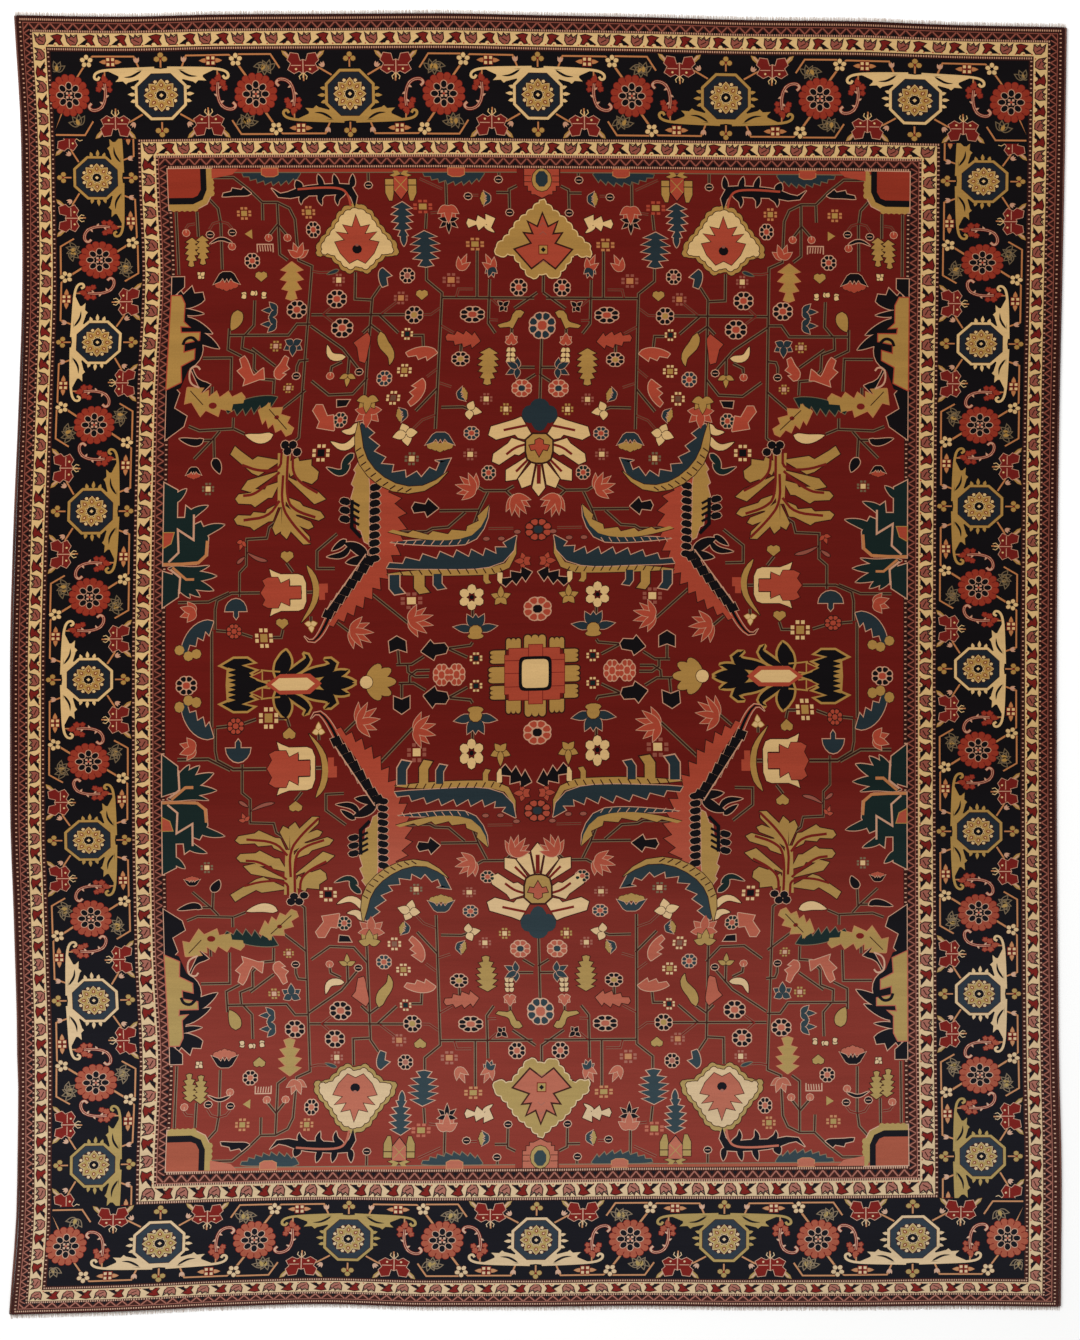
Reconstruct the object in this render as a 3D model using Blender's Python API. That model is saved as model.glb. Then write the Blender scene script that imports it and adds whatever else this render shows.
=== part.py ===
"""Large hand-knotted wool rug with a short fringe, lying flat on a floor.

The plan is X across, Y along, Z up, in metres. The origin is the middle of the rug's plan, on the floor.
The head end is at +Y and the foot end at -Y. The rug was knotted by hand, so no edge is quite straight:
each side and each end wanders inside the plan's box by the insets in the two tables below.
"""
import bmesh
import bpy
from mathutils import Vector

# The box that the rug's plan fits in.
BOX_WIDTH = 3.702
BOX_LENGTH = 4.585

# Inset of each side from the box, in millimetres, at even steps from the head end to the foot end.
#        left, right
SIDE_INSETS_MM = (
    (17, 0),
    (42, 7),
    (46, 16),
    (33, 26),
    (14, 32),
    (3, 35),
    (3, 35),
    (17, 32),
    (28, 28),
    (28, 18),
    (0, 21),
)
# Inset of each end from the box, in millimetres, at even steps from the left side to the right side.
#        head, foot
END_INSETS_MM = (
    (7, 0),
    (12, 10),
    (4, 28),
    (2, 38),
    (0, 28),
    (7, 28),
    (14, 32),
    (24, 28),
    (28, 28),
    (42, 32),
    (49, 28),
)

# The knotted body: foundation and clipped pile together.
BODY_THICKNESS = 0.011
BODY_EDGE_ROUND = 0.0028
BODY_ROUND_STEPS = 2

# The overcast cord along each side.
SELVEDGE_DIAMETER = 0.009
SELVEDGE_RING_STEPS = 2
# The cord is cut square, so its ends stop a little short of the fringe, which runs at a slant there.
SELVEDGE_END_GAP = 0.0008

# The fringe at each end: a woven heading with its warp ends gathered in short flat locks.
FRINGE_REACH = 0.016
FRINGE_HEADING = 0.006
FRINGE_THICKNESS = 0.0025
FRINGE_LOCKS = 148
LOCK_ROOT_WIDTH = 0.020
LOCK_TIP_WIDTH = 0.015
FRINGE_CORNER_INSET = 0.003

# Pieces that touch keep this hairline between them.
SEAM_GAP = 0.0003

# Straight runs that each side and each end of the body is drawn in.
SIDE_RUNS = 40
END_RUNS = 120

MILLIMETRE = 0.001
HEAD = 1.0
FOOT = -1.0
LEFT = -1.0
RIGHT = 1.0


def column(table, index):
    """One column of an inset table, in metres."""
    return [row[index] * MILLIMETRE for row in table]


def slopes(values):
    """The slope at each station of a smooth line that never swings past its stations."""
    steps = [after - before for before, after in zip(values, values[1:])]
    inner = [
        0.0 if before * after <= 0.0 else 2.0 * before * after / (before + after)
        for before, after in zip(steps, steps[1:])
    ]
    return [steps[0], *inner, steps[-1]]


def smooth_value(values, share):
    """The value of the smooth line through evenly spaced stations, at a share from 0 to 1 of its length."""
    tangents = slopes(values)
    place = min(max(share, 0.0), 1.0) * (len(values) - 1)
    index = min(int(place), len(values) - 2)
    t = place - index
    start, end = values[index], values[index + 1]
    leave, arrive = tangents[index], tangents[index + 1]
    rise = end - start
    return start + t * (leave + t * (3 * rise - 2 * leave - arrive + t * (leave + arrive - 2 * rise)))


def plan_point(across, along, side_inset=0.0, end_inset=0.0):
    """A point of the plan. across runs from -1 at the left side to 1 at the right one, and along from -1
    at the foot end to 1 at the head end, both measured inside the given insets from the outer edges."""
    down = (HEAD - along) / 2.0
    over = (across - LEFT) / 2.0
    left = -BOX_WIDTH / 2.0 + smooth_value(column(SIDE_INSETS_MM, 0), down) + side_inset
    right = BOX_WIDTH / 2.0 - smooth_value(column(SIDE_INSETS_MM, 1), down) - side_inset
    head = BOX_LENGTH / 2.0 - smooth_value(column(END_INSETS_MM, 0), over) - end_inset
    foot = -BOX_LENGTH / 2.0 + smooth_value(column(END_INSETS_MM, 1), over) + end_inset
    return Vector((left + (right - left) * over, head + (foot - head) * down, 0.0))


def steps(count):
    """Even steps from -1 to 1."""
    return [-1.0 + 2.0 * i / count for i in range(count + 1)]


def clear_scene():
    for obj in list(bpy.data.objects):
        bpy.data.objects.remove(obj)


def new_collection(name):
    collection = bpy.data.collections.new(name)
    bpy.context.scene.collection.children.link(collection)
    return collection


def new_material(name, colour, roughness):
    material = bpy.data.materials.new(name)
    material.use_nodes = True
    shader = material.node_tree.nodes["Principled BSDF"]
    shader.inputs["Base Color"].default_value = (*colour, 1.0)
    shader.inputs["Roughness"].default_value = roughness
    shader.inputs["Metallic"].default_value = 0.0
    return material


def mesh_piece(name, shape, material, collection):
    """A piece made of a finished bmesh."""
    mesh = bpy.data.meshes.new(name)
    shape.to_mesh(mesh)
    shape.free()
    mesh.materials.append(material)
    piece = bpy.data.objects.new(name, mesh)
    collection.objects.link(piece)
    return piece


def knotted_body(material, collection):
    """The rug itself: one slab of knotted pile and foundation, with softly rounded rims."""
    side = SELVEDGE_DIAMETER + SEAM_GAP
    end = FRINGE_REACH + SEAM_GAP
    acrosses = steps(END_RUNS)[:-1]
    alongs = steps(SIDE_RUNS)[:-1]
    outline = [plan_point(across, FOOT, side, end) for across in acrosses]
    outline += [plan_point(RIGHT, along, side, end) for along in alongs]
    outline += [plan_point(-across, HEAD, side, end) for across in acrosses]
    outline += [plan_point(LEFT, -along, side, end) for along in alongs]
    slab = bmesh.new()
    back = slab.faces.new([slab.verts.new(place) for place in outline])
    raised = bmesh.ops.extrude_face_region(slab, geom=[back])["geom"]
    for vertex in raised:
        if isinstance(vertex, bmesh.types.BMVert):
            vertex.co.z += BODY_THICKNESS
    bmesh.ops.recalc_face_normals(slab, faces=list(slab.faces))
    rims = [edge for edge in slab.edges if edge.verts[0].co.z == edge.verts[1].co.z]
    bmesh.ops.bevel(
        slab,
        geom=rims,
        offset=BODY_EDGE_ROUND,
        offset_type="OFFSET",
        segments=BODY_ROUND_STEPS,
        profile=0.5,
        affect="EDGES",
        material=-1,
    )
    return mesh_piece("rug_body", slab, material, collection)


def selvedge(name, across, material, collection):
    """The cord overcast along one side, from the foot end of the pile to its head end."""
    radius = SELVEDGE_DIAMETER / 2.0
    end = FRINGE_REACH + SELVEDGE_END_GAP
    curve = bpy.data.curves.new(name, "CURVE")
    curve.dimensions = "3D"
    curve.bevel_depth = radius
    curve.bevel_resolution = SELVEDGE_RING_STEPS
    curve.use_fill_caps = True
    spline = curve.splines.new("POLY")
    alongs = steps(SIDE_RUNS)
    spline.points.add(len(alongs) - 1)
    for point, along in zip(spline.points, alongs):
        place = plan_point(across, along, radius, end)
        point.co = (place.x, place.y, radius, 1.0)
    cord = bpy.data.objects.new(name, curve)
    curve.materials.append(material)
    collection.objects.link(cord)
    return cord


def fringe_stations():
    """Where the fringe's heading is divided, from -1 to 1 across: its two corners and both sides of each lock."""
    half_root = LOCK_ROOT_WIDTH / BOX_WIDTH
    stations = [LEFT]
    for i in range(FRINGE_LOCKS):
        middle = LEFT + (2.0 * i + 1.0) / FRINGE_LOCKS
        stations += [middle - half_root, middle + half_root]
    return [*stations, RIGHT]


def fringe(name, along, material, collection):
    """The fringe at one end: a continuous heading beside the pile, with short tapered locks standing out of it.
    The heading is a grid one cell deep, each lock is drawn out of its outer edge, and the whole is thickened."""
    stations = fringe_stations()
    cells = len(stations) - 1
    taper = (LOCK_ROOT_WIDTH - LOCK_TIP_WIDTH) / BOX_WIDTH
    sheet = bmesh.new()
    bmesh.ops.create_grid(sheet, x_segments=cells, y_segments=1, size=1.0)
    outer_edge = {}
    for vertex in sheet.verts:
        index = round((vertex.co.x + 1.0) / 2.0 * cells)
        inset = FRINGE_REACH
        if vertex.co.y > 0.0:
            inset -= FRINGE_HEADING
            outer_edge[index] = vertex
        vertex.co = plan_point(stations[index], along, FRINGE_CORNER_INSET, inset)
    for start in range(1, cells, 2):
        root = sheet.edges.get((outer_edge[start], outer_edge[start + 1]))
        drawn = bmesh.ops.extrude_edge_only(sheet, edges=[root])["geom"]
        tips = sorted((v for v in drawn if isinstance(v, bmesh.types.BMVert)), key=lambda v: v.co.x)
        for tip, across in zip(tips, (stations[start] + taper, stations[start + 1] - taper)):
            tip.co = plan_point(across, along, FRINGE_CORNER_INSET, 0.0)
    raised = bmesh.ops.extrude_face_region(sheet, geom=list(sheet.faces))["geom"]
    for vertex in raised:
        if isinstance(vertex, bmesh.types.BMVert):
            vertex.co.z += FRINGE_THICKNESS
    bmesh.ops.recalc_face_normals(sheet, faces=list(sheet.faces))
    return mesh_piece(name, sheet, material, collection)


def main():
    clear_scene()
    rug = new_collection("turkish_rug")
    pile = new_material("wool_pile", (0.222, 0.016, 0.014), 0.95)
    overcast = new_material("selvedge_wool", (0.105, 0.030, 0.022), 0.9)
    warp = new_material("warp_ends", (0.560, 0.455, 0.365), 0.9)
    knotted_body(pile, rug)
    selvedge("selvedge_left", LEFT, overcast, rug)
    selvedge("selvedge_right", RIGHT, overcast, rug)
    fringe("fringe_head", HEAD, warp, rug)
    fringe("fringe_foot", FOOT, warp, rug)


main()
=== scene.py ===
"""The finished look of a large hand-knotted rug: dyed yarns, pattern, overcast sides and fringe.

The pattern is charted in knots, as a weaver's cartoon is. u counts knots across the rug from the middle
of its field, and v counts them along it, towards the head end. A place in the chart is one complex number,
u + v*1j.
Plan turns a place in the chart into a place on the rug, whose edges wander. Places on the rug are in metres.
"""

import logging
import math
from dataclasses import dataclass, field
from enum import Enum
from typing import Iterable, Sequence

import bmesh
import bpy
import numpy as np
from mathutils import Matrix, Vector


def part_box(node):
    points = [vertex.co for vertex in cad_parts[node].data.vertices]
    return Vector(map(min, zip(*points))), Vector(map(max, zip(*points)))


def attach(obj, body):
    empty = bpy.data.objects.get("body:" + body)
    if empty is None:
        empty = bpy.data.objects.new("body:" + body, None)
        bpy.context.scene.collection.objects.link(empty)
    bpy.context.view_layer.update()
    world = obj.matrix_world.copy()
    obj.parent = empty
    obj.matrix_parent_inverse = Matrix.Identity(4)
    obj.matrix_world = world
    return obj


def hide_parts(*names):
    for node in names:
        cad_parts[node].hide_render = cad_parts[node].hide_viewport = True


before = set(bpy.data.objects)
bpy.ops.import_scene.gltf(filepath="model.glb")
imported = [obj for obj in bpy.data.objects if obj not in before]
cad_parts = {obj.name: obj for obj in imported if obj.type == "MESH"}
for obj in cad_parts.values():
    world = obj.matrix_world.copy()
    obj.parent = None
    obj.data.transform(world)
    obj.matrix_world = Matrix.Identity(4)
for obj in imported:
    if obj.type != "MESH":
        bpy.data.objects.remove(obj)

log = logging.getLogger("rug")

KNOT = 0.0035
FIELD_U = 370.0
FIELD_V = 501.0
BORDER = 154.5
# The pile's coloured layers stand this far over the slab that they are set on.
PATTERN_RISE = 0.0015
Points = Sequence[complex] | np.ndarray


@dataclass(frozen=True)
class Dye:
    """One dye lot, as screen values from 0 to 255: the dye's own colour at the head end, and the lighter
    colour it shows towards the foot end, where sheen off the pile is painted in.
    """

    deep: tuple[int, int, int]
    sheened: tuple[int, int, int]


class Yarn(Enum):
    """The yarns that the rug is knotted and finished with."""

    # Each yarn's second colour is painted pile sheen: the lighter shade it shows towards the foot end.
    RED = Dye((96, 22, 17), (138, 58, 49))
    NAVY = Dye((16, 13, 15), (27, 27, 33))
    DARK = Dye((48, 21, 17), (66, 36, 32))
    WINE = Dye((106, 27, 22), (124, 36, 32))
    SLATE = Dye((33, 44, 49), (54, 70, 77))
    STEEL = Dye((28, 32, 38), (50, 60, 70))
    GREEN = Dye((20, 33, 31), (32, 50, 50))
    IVORY = Dye((202, 166, 112), (214, 188, 150))
    GOLD = Dye((158, 119, 60), (172, 148, 92))
    CORAL = Dye((156, 62, 43), (184, 108, 88))
    BRICK = Dye((136, 46, 30), (166, 88, 68))
    PINK = Dye((134, 72, 58), (166, 108, 94))
    VINE = Dye((104, 86, 62), (134, 118, 96))
    TAN = Dye((170, 108, 64), (192, 138, 98))
    CREAM = Dye((182, 134, 106), (204, 166, 142))
    BARK = Dye((98, 64, 47), (136, 100, 84))


RED, NAVY, DARK, WINE, SLATE, STEEL, GREEN, IVORY, GOLD, CORAL, BRICK, PINK, VINE, TAN, CREAM, BARK = Yarn


def screen_to_linear(colour: tuple[int, int, int]) -> tuple[float, float, float, float]:
    """Turn a screen colour into the linear one that a shader takes.

    Args:
        colour: red, green and blue from 0 to 255.

    Returns:
        Linear red, green, blue and an alpha of 1.
    """
    channels = [
        (c / 255.0 / 12.92) if c <= 10 else ((c / 255.0 + 0.055) / 1.055) ** 2.4
        for c in colour
    ]
    return (channels[0], channels[1], channels[2], 1.0)


class Nodes:
    """A short way to add and link the nodes of one tree."""

    def __init__(self, tree: bpy.types.NodeTree) -> None:
        """Keep the tree that the nodes go to."""
        self.tree = tree

    def add(self, kind: str, links: dict | None = None, **settings: object) -> bpy.types.Node:
        """Add one node.

        Args:
            kind: the node's type without its ShaderNode prefix.
            links: input name or index to the output that feeds it, or to a constant.
            settings: the node's own settings.

        Returns:
            The new node.
        """
        node = self.tree.nodes.new("ShaderNode" + kind)
        for name, value in settings.items():
            setattr(node, name, value)
        for socket, source in (links or {}).items():
            if isinstance(source, bpy.types.NodeSocket):
                self.tree.links.new(source, node.inputs[socket])
            else:
                node.inputs[socket].default_value = source
        return node

    def math(self, operation: str, first: object, second: object) -> bpy.types.NodeSocket:
        """Add a two-input Math node and return its output."""
        return self.add("Math", {0: first, 1: second}, operation=operation).outputs[0]


@dataclass(frozen=True)
class PileWool:
    """Clipped wool pile: dye streaks across the rug, a painted pile sheen that lightens it towards the foot
    end, knots and soft nap.
    """

    # Painted pile sheen: between these heights, towards the foot end, each yarn lightens to its sheen colour
    # along a line that wanders this far.
    pile_sheen_from: float = -0.15
    pile_sheen_to: float = -1.75
    pile_sheen_wander: float = 0.9
    streak: float = 0.34
    rows: float = 0.20
    speckle: float = 0.26
    knot_bump: float = 0.0007
    # Cells a metre of each noise, along the rug's axes.
    drift_cells: tuple[float, float, float] = (0.5, 1.6, 1.0)
    streak_cells: tuple[float, float, float] = (0.7, 16.0, 1.0)
    row_cells: tuple[float, float, float] = (9.0, 140.0, 1.0)
    speckle_cells: tuple[float, float, float] = (210.0, 210.0, 210.0)
    knot_cells: tuple[float, float, float] = (290.0, 330.0, 290.0)
    roughness: float = 0.96
    sheen: float = 0.03
    shine: float = 0.03

    def stretched_noise(self, nodes: Nodes, place: bpy.types.NodeSocket, stretch: tuple[float, float, float],
                        detail: float) -> bpy.types.NodeSocket:
        """Add noise that is stretched along the rug's axes.

        Args:
            nodes: the tree to add to.
            place: the object coordinates.
            stretch: cells a metre along each axis.
            detail: octaves of noise.

        Returns:
            The noise, from 0 to 1 with a middle of 0.5.
        """
        scaled = nodes.add("VectorMath", {0: place, 1: stretch}, operation="MULTIPLY")
        noise = nodes.add("TexNoise", {"Vector": scaled.outputs[0], "Scale": 1.0, "Detail": detail})
        return noise.outputs[0]

    def group(self) -> bpy.types.NodeTree:
        """Make the node group that every dyed yarn shares.

        Returns:
            A group from the dye colour and its painted-sheen colour to the yarn's colour and the pile's
            normal.
        """
        tree = bpy.data.node_groups.new("wool_dye_and_sheen", "ShaderNodeTree")
        for name in ("Deep", "Sheened"):
            tree.interface.new_socket(name, in_out="INPUT", socket_type="NodeSocketColor")
        tree.interface.new_socket("Colour", in_out="OUTPUT", socket_type="NodeSocketColor")
        tree.interface.new_socket("Normal", in_out="OUTPUT", socket_type="NodeSocketVector")
        nodes = Nodes(tree)
        dyes = tree.nodes.new("NodeGroupInput")
        result = tree.nodes.new("NodeGroupOutput")
        place = nodes.add("TexCoord").outputs["Object"]
        along = nodes.add("SeparateXYZ", {0: place}).outputs["Y"]
        drift = self.stretched_noise(nodes, place, self.drift_cells, 2.0)
        wander = nodes.math("MULTIPLY", nodes.math("SUBTRACT", drift, 0.5), self.pile_sheen_wander)
        # Painted sheen off the pile: the colour lightens from the deep dye to its sheen colour towards the
        # foot end.
        pile_sheen = nodes.add(
            "MapRange",
            {0: nodes.math("ADD", along, wander), 1: self.pile_sheen_from, 2: self.pile_sheen_to},
            interpolation_type="SMOOTHSTEP",
        ).outputs[0]
        dyed = nodes.add("Mix", {0: pile_sheen, 6: dyes.outputs[0], 7: dyes.outputs[1]},
                         data_type="RGBA").outputs[2]
        light: object = 1.0
        for strength, stretch, detail in (
            (self.streak, self.streak_cells, 4.0),
            (self.rows, self.row_cells, 3.0),
            (self.speckle, self.speckle_cells, 2.0),
        ):
            noise = self.stretched_noise(nodes, place, stretch, detail)
            light = nodes.math("ADD", light,
                               nodes.math("MULTIPLY", nodes.math("SUBTRACT", noise, 0.5), strength))
        shaded = nodes.add("VectorMath", {0: dyed, "Scale": light}, operation="SCALE")
        knots = self.stretched_noise(nodes, place, self.knot_cells, 2.0)
        bump = nodes.add("Bump", {"Strength": 0.7, "Distance": self.knot_bump, "Height": knots})
        tree.links.new(shaded.outputs[0], result.inputs[0])
        tree.links.new(bump.outputs[0], result.inputs[1])
        return tree

    def material(self, yarn: Yarn) -> bpy.types.Material:
        """Make one yarn's material.

        Args:
            yarn: the dyed yarn.

        Returns:
            Its material.
        """
        tree = bpy.data.node_groups.get("wool_dye_and_sheen") or self.group()
        material = bpy.data.materials.new("wool_" + yarn.name.lower())
        material.use_nodes = True
        shader = material.node_tree.nodes["Principled BSDF"]
        shader.inputs["Roughness"].default_value = self.roughness
        shader.inputs["Sheen Weight"].default_value = self.sheen
        shader.inputs["Specular IOR Level"].default_value = self.shine
        wool = material.node_tree.nodes.new("ShaderNodeGroup")
        wool.node_tree = tree
        wool.inputs["Deep"].default_value = screen_to_linear(yarn.value.deep)
        wool.inputs["Sheened"].default_value = screen_to_linear(yarn.value.sheened)
        material.node_tree.links.new(wool.outputs["Colour"], shader.inputs["Base Color"])
        material.node_tree.links.new(wool.outputs["Normal"], shader.inputs["Normal"])
        return material


@dataclass(frozen=True)
class SpunYarn:
    """Undyed or overcast yarn that shows its twist: fine ribs across each strand, painted shade in the
    grooves between them and uneven tone.
    """

    name: str
    colour: tuple[int, int, int]
    # The colour that the twist's grooves take as painted shade, and that the uneven tone drifts towards.
    shade: tuple[int, int, int]
    ribs: tuple[float, float, float]
    bump: float = 0.0005
    roughness: float = 0.9

    def material(self) -> bpy.types.Material:
        """Make the yarn's material.

        Returns:
            The material.
        """
        material = bpy.data.materials.new(self.name)
        material.use_nodes = True
        nodes = Nodes(material.node_tree)
        shader = material.node_tree.nodes["Principled BSDF"]
        shader.inputs["Roughness"].default_value = self.roughness
        shader.inputs["Sheen Weight"].default_value = 0.2
        shader.inputs["Specular IOR Level"].default_value = 0.2
        place = nodes.add("TexCoord").outputs["Object"]
        ribbed = nodes.add("VectorMath", {0: place, 1: self.ribs}, operation="MULTIPLY").outputs[0]
        noise = nodes.add("TexNoise", {"Vector": ribbed, "Scale": 1.0, "Detail": 3.0}).outputs[0]
        drift = nodes.add("TexNoise", {"Vector": place, "Scale": 3.0, "Detail": 3.0}).outputs[0]
        # The ribs' noise also drives the bump, so their grooves darken towards the shade colour: painted
        # shade. The slow drift is uneven tone.
        share = nodes.math("MULTIPLY", nodes.math("ADD", noise, drift), 0.5)
        spread = nodes.add("MapRange", {0: share, 1: 0.38, 2: 0.62}).outputs[0]
        colour = nodes.add(
            "Mix",
            {0: spread, 6: screen_to_linear(self.shade), 7: screen_to_linear(self.colour)},
            data_type="RGBA",
        )
        bump = nodes.add("Bump", {"Strength": 0.6, "Distance": self.bump, "Height": noise})
        material.node_tree.links.new(colour.outputs[2], shader.inputs["Base Color"])
        material.node_tree.links.new(bump.outputs[0], shader.inputs["Normal"])
        return material


@dataclass
class Plan:
    """Where the chart lies on the rug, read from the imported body, whose edges wander."""

    rim_height: float = 0.0028
    field_box: tuple[float, float, float, float] = (-1.295, 1.2825, -1.776, 1.728)
    follow: float = 0.4
    # The foot border widens towards the left: its inner edge rises this much a metre from the left side.
    foot_lean: float = 0.0068
    left_side: float = -1.85
    # Near both ends the left border's inner edge steps in.
    left_step: float = 0.018
    left_step_at: float = 1.38
    left_step_reach: float = 0.26
    # The rows sag towards the foot at the left of the middle: how far, from which knot, over how many.
    sag: float = 0.029
    sag_from: float = 90.0
    sag_width: float = 330.0
    sag_reach: float = 185.0
    # How far out, as shares of each border's depth, the main border starts and ends.
    main_border: dict[str, tuple[float, float]] = field(
        default_factory=lambda: {
            "left": (0.22, 0.785), "right": (0.215, 0.775), "foot": (0.233, 0.804), "head": (0.197, 0.767),
        }
    )
    main_inner: float = 30.5
    main_outer: float = 118.5

    def __post_init__(self) -> None:
        """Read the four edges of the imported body's plan."""
        corners = np.array([v.co[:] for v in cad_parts["rug_body"].data.vertices])
        ring = corners[np.abs(corners[:, 2] - self.rim_height) < 0.0003]
        turn = np.arctan2(ring[:, 1], ring[:, 0])
        head_left, head_right, foot_right, foot_left = (
            turn[np.argmax(a * ring[:, 0] + b * ring[:, 1])] for a, b in ((-1, 1), (1, 1), (1, -1), (-1, -1))
        )
        self.edges: dict[str, np.ndarray] = {}
        for name, axis, chosen in (
            ("left", 1, (turn >= head_left) | (turn <= foot_left)),
            ("right", 1, (turn >= foot_right) & (turn <= head_right)),
            ("foot", 0, (turn >= foot_left) & (turn <= foot_right)),
            ("head", 0, (turn >= head_right) & (turn <= head_left)),
        ):
            points = ring[chosen]
            points = points[np.argsort(points[:, axis], kind="stable")]
            self.edges[name] = np.column_stack([points[:, axis], points[:, 1 - axis]])

    def edge(self, name: str, along: np.ndarray) -> np.ndarray:
        """Read one edge of the pile.

        Args:
            name: left, right, foot or head.
            along: places along that edge, in metres.

        Returns:
            The edge's distance from the axis that it runs along, with its sign.
        """
        stations = self.edges[name]
        return np.interp(along, stations[:, 0], stations[:, 1])

    def across(self, steps: np.ndarray, along: np.ndarray, names: tuple[str, str], box: tuple[float, float],
               half: float) -> np.ndarray:
        """Turn one chart coordinate into metres.

        Args:
            steps: the chart coordinate, in knots.
            along: the other coordinate, in metres.
            names: the low and the high edge.
            box: the field's low and high edge, in metres.
            half: the field's half size, in knots.

        Returns:
            The coordinate in metres.
        """
        ends = []
        for name, inner in zip(names, box):
            outer = self.edge(name, along)
            inner_here = inner + self.follow * (outer - self.edges[name][:, 1].mean())
            if name == "foot":
                inner_here = inner_here + self.foot_lean * (along - self.left_side)
            if name == "left":
                near = np.exp(-(((np.abs(along) - self.left_step_at) / self.left_step_reach) ** 2))
                inner_here = inner_here + self.left_step * near
            ends.append((inner_here, outer, self.main_border[name]))
        low, high = ends
        share = (np.clip(steps, -half, half) + half) / (2.0 * half)
        result = low[0] + (high[0] - low[0]) * share
        for (inner_here, outer, main), beyond in ((low, -half - steps), (high, steps - half)):
            depth = np.interp(beyond, (0.0, self.main_inner, self.main_outer, BORDER), (0.0, *main, 1.0))
            result = np.where(beyond > 0.0, inner_here + (outer - inner_here) * depth, result)
        return result

    def place(self, chart: np.ndarray) -> np.ndarray:
        """Turn places in the chart into places on the rug.

        Args:
            chart: complex chart places, in knots.

        Returns:
            Rows of x and y, in metres.
        """
        box = self.field_box
        rough_x = chart.real * KNOT
        rough_y = chart.imag * KNOT
        x = self.across(chart.real, rough_y, ("left", "right"), (box[0], box[1]), FIELD_U)
        y = self.across(chart.imag, rough_x, ("foot", "head"), (box[2], box[3]), FIELD_V)
        leftward = np.clip((self.sag_from - chart.real) / self.sag_width, 0.0, 1.0)
        sagging = self.sag * leftward * np.exp(-((chart.imag / self.sag_reach) ** 4))
        return np.column_stack([x, y - sagging])


def loop(rx: float, ry: float | None = None, count: int = 16, centre: complex = 0j,
         start: float = 0.0) -> np.ndarray:
    """A closed ring of points on an ellipse.

    Args:
        rx: half its width.
        ry: half its height, the same as rx if left out.
        count: how many points.
        centre: its middle.
        start: the first point's angle, in degrees.

    Returns:
        The ring.
    """
    angle = np.radians(start) + np.arange(count) * 2.0 * math.pi / count
    return centre + rx * np.cos(angle) + 1j * (rx if ry is None else ry) * np.sin(angle)


def scalloped(rx: float, ry: float, lobes: int, depth: float = 0.12, per_lobe: int = 5) -> np.ndarray:
    """An ellipse whose rim swells in round lobes.

    Args:
        rx: half its width.
        ry: half its height.
        lobes: how many lobes.
        depth: how far the notches cut in, as a share of the radius.
        per_lobe: points in each lobe.

    Returns:
        The ring, with a notch at angle 0.
    """
    turn = np.arange(lobes * per_lobe) / per_lobe
    angle = turn * 2.0 * math.pi / lobes
    radius = 1.0 - depth + depth * np.abs(np.sin(math.pi * turn)) ** 0.6
    return rx * radius * np.cos(angle) + 1j * ry * radius * np.sin(angle)


def petal(length: float, width: float, base: float = 0.0, count: int = 6) -> np.ndarray:
    """A pointed petal that grows along +u from a distance of base.

    Args:
        length: from its root to its tip.
        width: across its middle.
        base: where its root lies.
        count: points along each side.

    Returns:
        The ring.
    """
    t = np.linspace(0.0, 1.0, count + 1)
    half = 0.5 * width * np.sin(math.pi * t ** 0.75)
    return np.concatenate([base + length * t - 1j * half, (base + length * t + 1j * half)[-2:0:-1]])


def doubled(half: Points, upright: bool = True) -> np.ndarray:
    """Complete an even shape from one half of its outline.

    Args:
        half: the half's points, from one end of the middle line to the other.
        upright: whether the middle line runs along v.

    Returns:
        The ring.
    """
    points = np.asarray(half, dtype=complex)
    other = -np.conj(points) if upright else np.conj(points)
    return np.concatenate([points, other[-2:0:-1]])


def ruffled(ring: Points, lobes: int, depth: float) -> np.ndarray:
    """Swell a ring's rim in small round lobes.

    Args:
        ring: the ring, anticlockwise.
        lobes: how many lobes.
        depth: how far they stand out.

    Returns:
        The ruffled ring.
    """
    closed = np.append(np.asarray(ring, dtype=complex), ring[0])
    turn = np.arange(lobes * 4) / 4.0
    rim = resample(closed, turn / lobes)
    along = resample(closed, (turn + 0.05) / lobes) - rim
    outward = -1j * along / np.maximum(np.abs(along), 1e-9)
    return rim + outward * depth * np.abs(np.sin(math.pi * turn))


def smooth(path: Points, rounds: int = 2, closed: bool = False) -> np.ndarray:
    """Cut a path's corners until it runs in curves.

    Args:
        path: its points.
        rounds: how many times each corner is cut.
        closed: whether the last point joins the first.

    Returns:
        The smoother path.
    """
    points = np.asarray(path, dtype=complex)
    for _ in range(rounds):
        after = np.roll(points, -1) if closed else points[1:]
        before = points if closed else points[:-1]
        cut = np.column_stack([0.75 * before + 0.25 * after, 0.25 * before + 0.75 * after]).ravel()
        points = cut if closed else np.concatenate([points[:1], cut, points[-1:]])
    return points


def resample(path: np.ndarray, shares: np.ndarray) -> np.ndarray:
    """Read a path at shares of its length."""
    reach = np.concatenate([[0.0], np.cumsum(np.abs(np.diff(path)))])
    at = shares * reach[-1]
    return np.interp(at, reach, path.real) + 1j * np.interp(at, reach, path.imag)


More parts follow.
